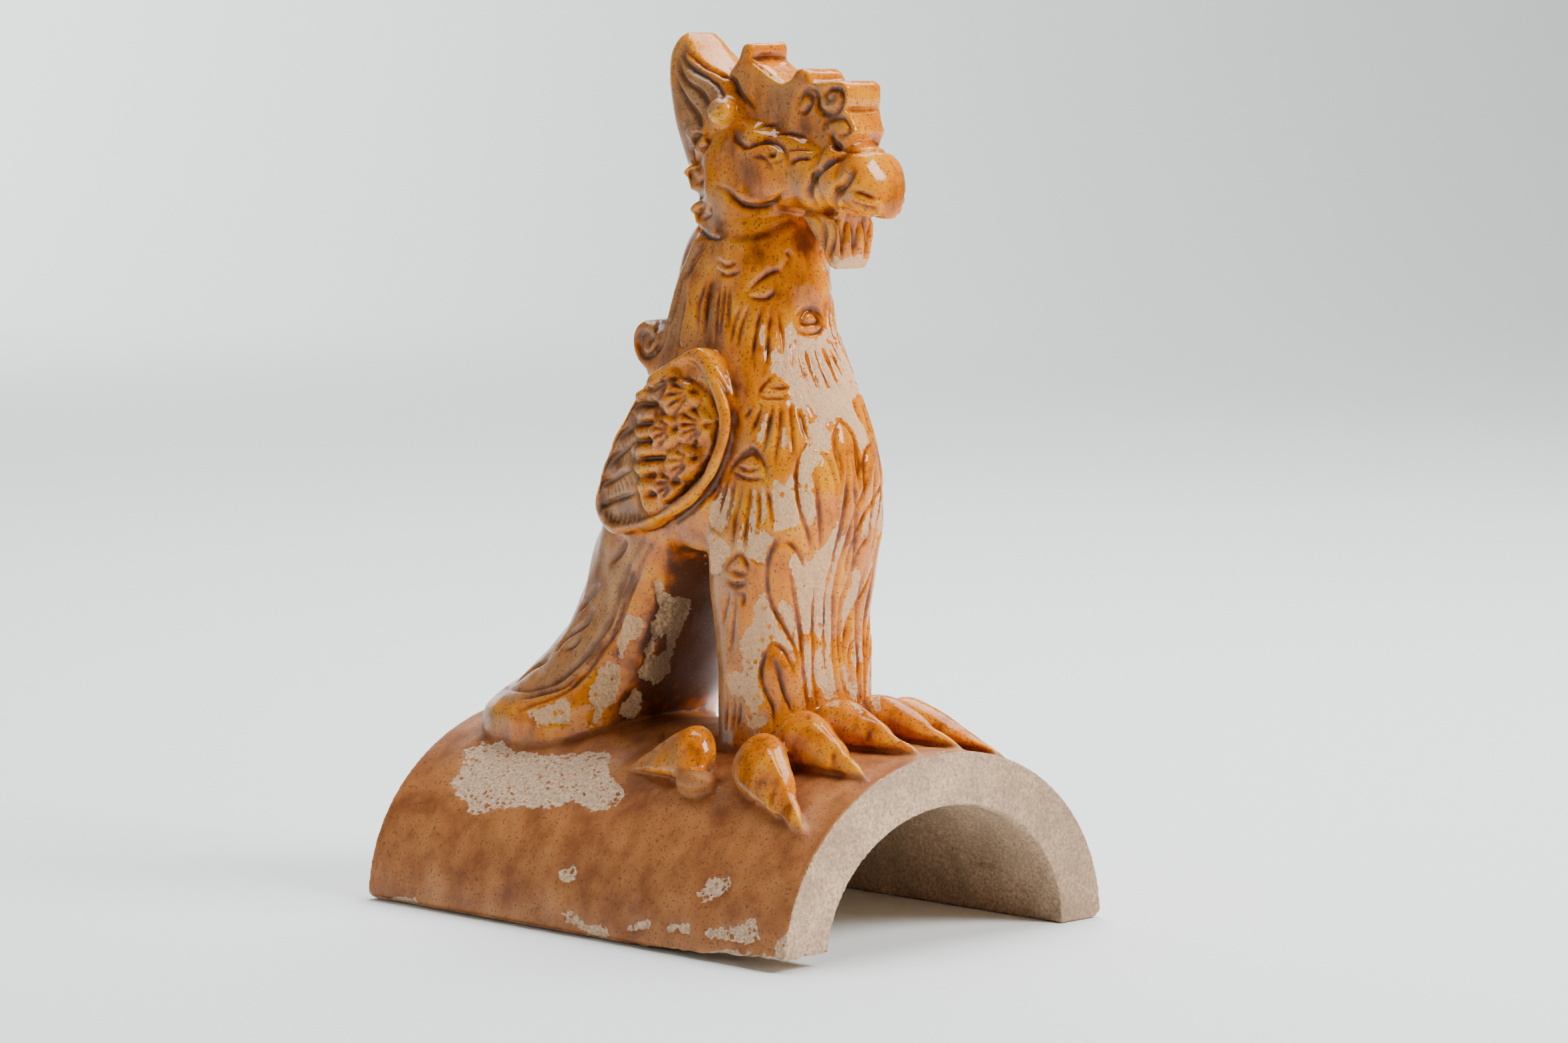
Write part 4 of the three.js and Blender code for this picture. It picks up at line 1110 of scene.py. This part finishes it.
# The same painted shade covers the gap's deepest part, apart from the flanks that turn outwards.
DEEP_Y, DEEP_HEIGHT, DEEP_LENGTH, DEEP_RISE, DEEP_HALF_WIDTH = 6, 22, 25, 44, 29
from_deep = np.hypot((moved[:, 1] - DEEP_Y) / DEEP_LENGTH,
                     (moved[:, 2] - TILE_CROWN - DEEP_HEIGHT) / DEEP_RISE)
turned_in = np.clip((0.86 - np.abs(moved_normals[:, 0])) / 0.4, 0, 1)
deep_shade = np.clip(1.7 - 1.3 * from_deep, 0, 1) * ((np.abs(moved[:, 0]) < DEEP_HALF_WIDTH) * turned_in)
# A lighter painted shadow, cast by the beard, darkens the hollow under the jaw.
UNDER_JAW_SHADOW = [
    (1188, 356), (1198, 340), (1218, 334), (1232, 350), (1238, 384), (1224, 396), (1204, 390),
    (1192, 374),
]
under_jaw_shadow = 0.5 * np.clip(inside_by(UNDER_JAW_SHADOW, u, v) * PIXEL_MM / 3.5 + 0.35, 0, 1) * facing
sheltered = np.maximum(sheltered, np.maximum(deep_shade, under_jaw_shadow)) * (off_tile > 1)
# Painted shade darkens the raw clay inside the arch and on the left of the end faces.
ARCH_SHADE, END_SHADE = 0.42, 0.45
past_end = np.clip((TILE_LENGTH / 2 - 2 - np.abs(moved[:, 1])) / 6, 0, 1)
sheltered = np.maximum(sheltered, ARCH_SHADE * in_arch * past_end)
sheltered = np.maximum(sheltered, END_SHADE * raw * np.clip((moved[:, 0] - 5) / 50, 0, 1))
# The knobs beside the outer toes took the tile's brown glaze.
KNOB_GLAZE_HALF_SIZES, KNOB_GLAZE_TOP, BROWNED_BY = (8, 10), 6, 7
from_knob = np.hypot((np.abs(moved[:, 0]) - (KNOB_X + 1)) / KNOB_GLAZE_HALF_SIZES[0],
                     (moved[:, 1] - (KNOB_Y - 1)) / KNOB_GLAZE_HALF_SIZES[1])
low_down = moved[:, 2] < TILE_CROWN + tile_top(KNOB_X) + KNOB_GLAZE_TOP
off_tile[(from_knob < 1) & low_down] -= BROWNED_BY

# Painted shade and reflected haze: faces turned to the sides and back, away from the lamps, get a
# duller, browner glaze.
SIDE_SHADE_SIDEWAYS, SIDE_SHADE_BACKWARDS, SIDE_SHADE_PATCHES = 0.62, 0.72, 0.12
SIDE_SHADE_FROM, SIDE_SHADE_OVER = 0.46, 0.36
dulled = (SIDE_SHADE_SIDEWAYS * np.abs(moved_normals[:, 0]) + SIDE_SHADE_BACKWARDS * moved_normals[:, 1]
          + SIDE_SHADE_PATCHES * unevenness(moved, seed=5, longest=30, shortest=12))
dulled = np.clip((dulled - SIDE_SHADE_FROM) / SIDE_SHADE_OVER, 0, 1)
SIDE_SHADE_OUTLINES = [
    # the tail's feathers, the plume's side, the wing's feathers, the mane lock
    [(905, 804), (984, 806), (952, 872), (930, 940), (880, 1008), (828, 1044), (770, 1062),
     (738, 1050), (745, 1030), (800, 985), (850, 940), (878, 880)],
    [(1020, 66), (1040, 90), (1080, 118), (1100, 150), (1075, 168), (1058, 195), (1050, 245),
     (1024, 240), (1006, 110)],
    [(1000, 556), (1020, 575), (965, 640), (962, 750), (980, 790), (930, 802), (888, 780),
     (905, 690), (960, 600)],
    [(1060, 356), (1040, 400), (1026, 520), (1000, 560), (962, 545), (966, 470), (1010, 420),
     (1040, 360)],
]
# The same painted shade and haze inside these outlines, on both sides.
for outline in SIDE_SHADE_OUTLINES:
    for where_u, where_v, turned in ((u, v, facing), (mirror_u, mirror_v, mirror_facing)):
        side_shade_in = np.clip(inside_by(outline, where_u, where_v) * PIXEL_MM / 2.5 + 0.3, 0, 1)
        dulled = np.maximum(dulled, side_shade_in * turned * (off_tile > 4))
dulled *= off_tile > 1

low, high = np.array(cad_box[0]) / MM, np.array(cad_box[1]) / MM
moved = np.clip(moved, low, high)
skin.vertices.foreach_set("co", (moved * MM).ravel())
skin.update()

# ---------------------------------------------------------------------------
# The fired piece.
# Bird and tile leave the kiln as one piece of clay. Its skin is thinned where
# it is plain, and keeps the marks of glaze, wear and painted shade at every point.
# ---------------------------------------------------------------------------

MOST_TRIANGLES = 192000
thin = bird.modifiers.new("thin", "DECIMATE")
thin.ratio = MOST_TRIANGLES / (2 * len(skin.polygons))
graph = bpy.context.evaluated_depsgraph_get()
fired = bpy.data.meshes.new_from_object(bird.evaluated_get(graph))
bird.modifiers.clear()
bird.data = fired
fired.polygons.foreach_set("use_smooth", [True] * len(fired.polygons))

finder = finder_of(moved)
nearest = np.array([finder.find(place)[1] for place in points_of(fired)])
FULL_POOL = 1.5
marks = {"bare": bare, "pool": cut / FULL_POOL, "hollow": hollow, "raw": raw.astype(float),
         "off_tile": off_tile, "sheltered": sheltered, "dulled": dulled}
for name, values in marks.items():
    mark = fired.attributes.new(name, "FLOAT", "POINT")
    mark.data.foreach_set("value", values[nearest].astype(np.float32))

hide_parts("ridge_beast")
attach(bird, "root")

# ---------------------------------------------------------------------------
# The glaze.
# Amber lead glaze over white slip on coarse buff clay: bright and thin on the
# high places, brown where it pools, duller and browner over the tile.
# ---------------------------------------------------------------------------


class Flow:
    """A value or colour on its way through a material's nodes."""

    def __init__(self, socket):
        self.socket = socket

    @staticmethod
    def node(tree, kind, settings=None, sockets=None, output=0):
        """A node of that kind, with its settings made first and then its sockets set or linked."""
        made = tree.nodes.new(kind)
        for name, value in (settings or {}).items():
            if name == "stops":
                stops = made.color_ramp.elements
                while len(stops) < len(value):
                    stops.new(0.5)
                for stop, (position, colour) in zip(stops, value):
                    stop.position, stop.color = position, (*colour, 1)
            else:
                setattr(made, name, value)
        for name, value in (sockets or {}).items():
            if isinstance(value, Flow):
                tree.links.new(value.socket, made.inputs[name])
            else:
                made.inputs[name].default_value = value
        return Flow(made.outputs[output])

    def math(self, operation, *rest):
        return Flow.node(self.socket.id_data, "ShaderNodeMath", {"operation": operation},
                         dict(enumerate((self, *rest))))

    def __add__(self, other):
        return self.math("ADD", other)

    __radd__ = __add__

    def __mul__(self, other):
        return self.math("MULTIPLY", other)

    __rmul__ = __mul__

    def __sub__(self, other):
        return self.math("SUBTRACT", other)

    def __rsub__(self, other):
        return (self * -1.0) + other

    def within(self, low, high):
        """0 below low, 1 above high and eased between."""
        return Flow.node(self.socket.id_data, "ShaderNodeMapRange", {"interpolation_type": "SMOOTHSTEP"},
                         {"Value": self, "From Min": low, "From Max": high})


glaze = bpy.data.materials.new("amber_glaze")
glaze.use_nodes = True
tree = glaze.node_tree
shader = tree.nodes["Principled BSDF"]
position = Flow.node(tree, "ShaderNodeTexCoord", output="Object")


def marked(name):
    return Flow.node(tree, "ShaderNodeAttribute", {"attribute_name": name}, output="Fac")


def grain(scale, detail=3.0, at=position):
    return Flow.node(tree, "ShaderNodeTexNoise", {},
                     {"Vector": at, "Scale": scale, "Detail": detail, "Roughness": 0.55})


def ramp(amount, stops):
    return Flow.node(tree, "ShaderNodeValToRGB", {"stops": stops}, {"Fac": amount})


def blend(factor, first, second):
    """The first colour where the factor is 0 and the second where it is 1."""
    return Flow.node(tree, "ShaderNodeMix", {"data_type": "RGBA"},
                     {0: factor, 6: first, 7: second}, output=2)


def relief(height, strength, distance, over=None):
    """Fine relief on the surface, over another one if there is one."""
    under = {} if over is None else {"Normal": over}
    return Flow.node(tree, "ShaderNodeBump", {},
                     {"Strength": strength, "Distance": distance, "Height": height, **under},
                     output="Normal")


bare_by, pool_by, hollow_by = marked("bare"), marked("pool"), marked("hollow")
raw_by, off_tile_by, painted_shade_by = marked("raw"), marked("off_tile"), marked("sheltered")
# The painted side shade, broken up by noise.
painted_side_shade_by = marked("dulled") * (0.45 + grain(110, 4)).math("MINIMUM", 1.0)
runs = Flow.node(tree, "ShaderNodeMapping", {}, {"Vector": position, "Scale": (1, 1, 0.3)})

edge_break = (grain(480, 4) - 0.5) * 3.2 + (grain(130, 2) - 0.5) * 2.4
lost = (bare_by + edge_break).within(-0.12, 0.12)
on_tile = (off_tile_by * -1.0 + (grain(160) - 0.5) * 1.5).within(-2.4, -0.9)
unglazed = (raw_by + (grain(300) - 0.5) * 0.4).within(0.4, 0.6)
clay_shows = lost.math("MAXIMUM", unglazed)

# How thick the glaze lies: it runs down, fills the hollows and pools in the cuts.
run_down = (grain(300, 3, at=runs) - 0.5) * (0.6 - on_tile * 0.6)
# Painted shade thickens, and so darkens, the glaze in the gap between the legs and the tail, under the
# jaw and inside the arch.
thickness = (0.44 + (grain(85, 4) - 0.5) * 1.5 + painted_shade_by * 1.0 + run_down
             + hollow_by * (0.34 - on_tile * 0.08) + pool_by * 0.30)
# Amber from thin to thick over the bird, and browner over the tile.
BIRD_GLAZE = [
    (0.0, (0.86, 0.35, 0.003)), (0.22, (0.82, 0.27, 0.0)), (0.48, (0.70, 0.18, 0.0)),
    (0.80, (0.25, 0.048, 0.001)), (1.0, (0.085, 0.021, 0.004)),
]
TILE_GLAZE = [
    (0.0, (0.56, 0.22, 0.06)), (0.35, (0.42, 0.145, 0.035)), (0.65, (0.27, 0.078, 0.017)),
    (1.0, (0.10, 0.030, 0.014)),
]
# The first pair are the darker glaze colours of painted shade on the sides turned away from the lamps.
SIDE_SHADE_THIN, SIDE_SHADE_THICK = (0.36, 0.185, 0.085, 1), (0.17, 0.078, 0.032, 1)
SPECK = (0.13, 0.05, 0.02, 1)
bird_glaze, tile_glaze = ramp(thickness, BIRD_GLAZE), ramp(thickness, TILE_GLAZE)
specks = grain(1100, 1).within(0.60, 0.67)
side_shade_glaze = blend(thickness.within(0.1, 0.9), SIDE_SHADE_THIN, SIDE_SHADE_THICK)
colour = blend(painted_side_shade_by * 0.85, bird_glaze, side_shade_glaze)
colour = blend(on_tile, colour, tile_glaze)
colour = blend(specks * 0.75, colour, SPECK)

# The clay, warmer where glaze has flaked off the bird.
CLAY_DEEP, CLAY_PALE = (0.54, 0.34, 0.20, 1), (0.94, 0.64, 0.42, 1)
CLAY_FLAKED, CLAY_BITS = (0.93, 0.50, 0.22, 1), (0.16, 0.11, 0.09, 1)
# The first colour of this pair is painted shade on the clay; the second is dirt on the raw clay.
CLAY_SHADED, CLAY_SOILED = (0.16, 0.09, 0.05, 1), (0.30, 0.20, 0.13, 1)
clay = blend(grain(900, 5).within(0.3, 0.7), CLAY_DEEP, CLAY_PALE)
clay = blend((1.0 - on_tile) * 0.6 * (1.0 - unglazed), clay, CLAY_FLAKED)
clay = blend(grain(1900, 2).within(0.64, 0.72) * 0.55, clay, CLAY_BITS)
# Painted shade darkens the clay in the gap, under the jaw and inside the arch.
clay = blend(painted_shade_by * 0.88, clay, CLAY_SHADED)
clay = blend(unglazed * grain(60, 4).within(0.35, 0.7) * 0.5, clay, CLAY_SOILED)
colour = blend(clay_shows, colour, clay)
tree.links.new(colour.socket, shader.inputs["Base Color"])

CLAY_ROUGHNESS = 0.85
GLAZE_SPECULAR = 0.36
glaze_roughness = (0.11 + on_tile * 0.34 + painted_side_shade_by * 0.2 + painted_shade_by * 0.55
                   + (grain(90, 3) - 0.5) * 0.14)
roughness = glaze_roughness + clay_shows * (CLAY_ROUGHNESS - glaze_roughness)
tree.links.new(roughness.socket, shader.inputs["Roughness"])
shader.inputs["Specular IOR Level"].default_value = GLAZE_SPECULAR

glaze_edge = relief(1.0 - clay_shows, 0.6, 0.0004)
coarse_clay = relief(grain(850, 5) * clay_shows, 0.9, 0.0012, over=glaze_edge)
glaze_swell = relief(grain(240, 3), 0.2, 0.0005, over=coarse_clay)
tree.links.new(glaze_swell.socket, shader.inputs["Normal"])
fired.materials.append(glaze)

# ---------------------------------------------------------------------------
# The studio.
# A pale floor that sweeps up behind the piece, with a soft lamp at the front
# left of the camera's view, one overhead, a weak one behind and one on the sweep.
# ---------------------------------------------------------------------------

FLOOR_HALF_WIDTH, FLOOR_FRONT, FLOOR_BACK = 7, -7, 3.2
SWEEP_RADIUS, SWEEP_TOP = 1.2, 6
FLOOR_COLOUR, FLOOR_ROUGHNESS = (0.93, 0.98, 0.975, 1), 0.9
ROOM_COLOUR, ROOM_LIGHT = (0.8, 0.84, 0.83, 1), 0.09
sweep = [(FLOOR_FRONT, 0)]
for turn in np.linspace(0, math.pi / 2, 25):
    sweep.append((FLOOR_BACK + SWEEP_RADIUS * math.sin(turn), SWEEP_RADIUS * (1 - math.cos(turn))))
sweep.append((FLOOR_BACK + SWEEP_RADIUS, SWEEP_TOP))
away = Vector((LOOK.x, LOOK.y, 0)).normalized()
floor_points = [away * out + LOOK_RIGHT * side * FLOOR_HALF_WIDTH + Vector((0, 0, up))
                for out, up in sweep for side in SIDES]
floor_data = bpy.data.meshes.new("floor")
floor_data.from_pydata(floor_points, [], [(2 * i, 2 * i + 1, 2 * i + 3, 2 * i + 2)
                                          for i in range(len(sweep) - 1)])
floor_data.polygons.foreach_set("use_smooth", [True] * len(floor_data.polygons))
floor = bpy.data.objects.new("floor", floor_data)
bpy.context.scene.collection.objects.link(floor)
pale = bpy.data.materials.new("pale_floor")
pale.use_nodes = True
pale.node_tree.nodes["Principled BSDF"].inputs["Base Color"].default_value = FLOOR_COLOUR
pale.node_tree.nodes["Principled BSDF"].inputs["Roughness"].default_value = FLOOR_ROUGHNESS
floor_data.materials.append(pale)

world = bpy.context.scene.world or bpy.data.worlds.new("world")
bpy.context.scene.world = world
world.use_nodes = True
world.node_tree.nodes["Background"].inputs["Color"].default_value = ROOM_COLOUR
world.node_tree.nodes["Background"].inputs["Strength"].default_value = ROOM_LIGHT


def add_softbox(name, place, aim, width, height, power):
    """A lamp behind a diffuser of that width and height, aimed at a point."""
    data = bpy.data.lights.new(name, "AREA")
    data.shape = "RECTANGLE"
    data.size, data.size_y, data.energy = width, height, power
    lamp = bpy.data.objects.new(name, data)
    lamp.location = place
    lamp.rotation_mode = "QUATERNION"
    lamp.rotation_quaternion = (Vector(aim) - Vector(place)).to_track_quat("-Z", "Y")
    bpy.context.scene.collection.objects.link(lamp)


add_softbox("key", (0.6, -1.7, 1.6), (0, 0, 0.15), 0.9, 0.9, 62)
add_softbox("overhead", (0.6, 0.3, 1.8), (0, 0, 0.1), 1.6, 1.6, 66)
add_softbox("left_window", (-1.5, 0.9, 0.8), (0, 0, 0.15), 1.6, 1.6, 5)
add_softbox("backdrop_light", (1.0, 3.2, 1.9), (2.5, 3.5, 0.6), 1.0, 1.0, 84)
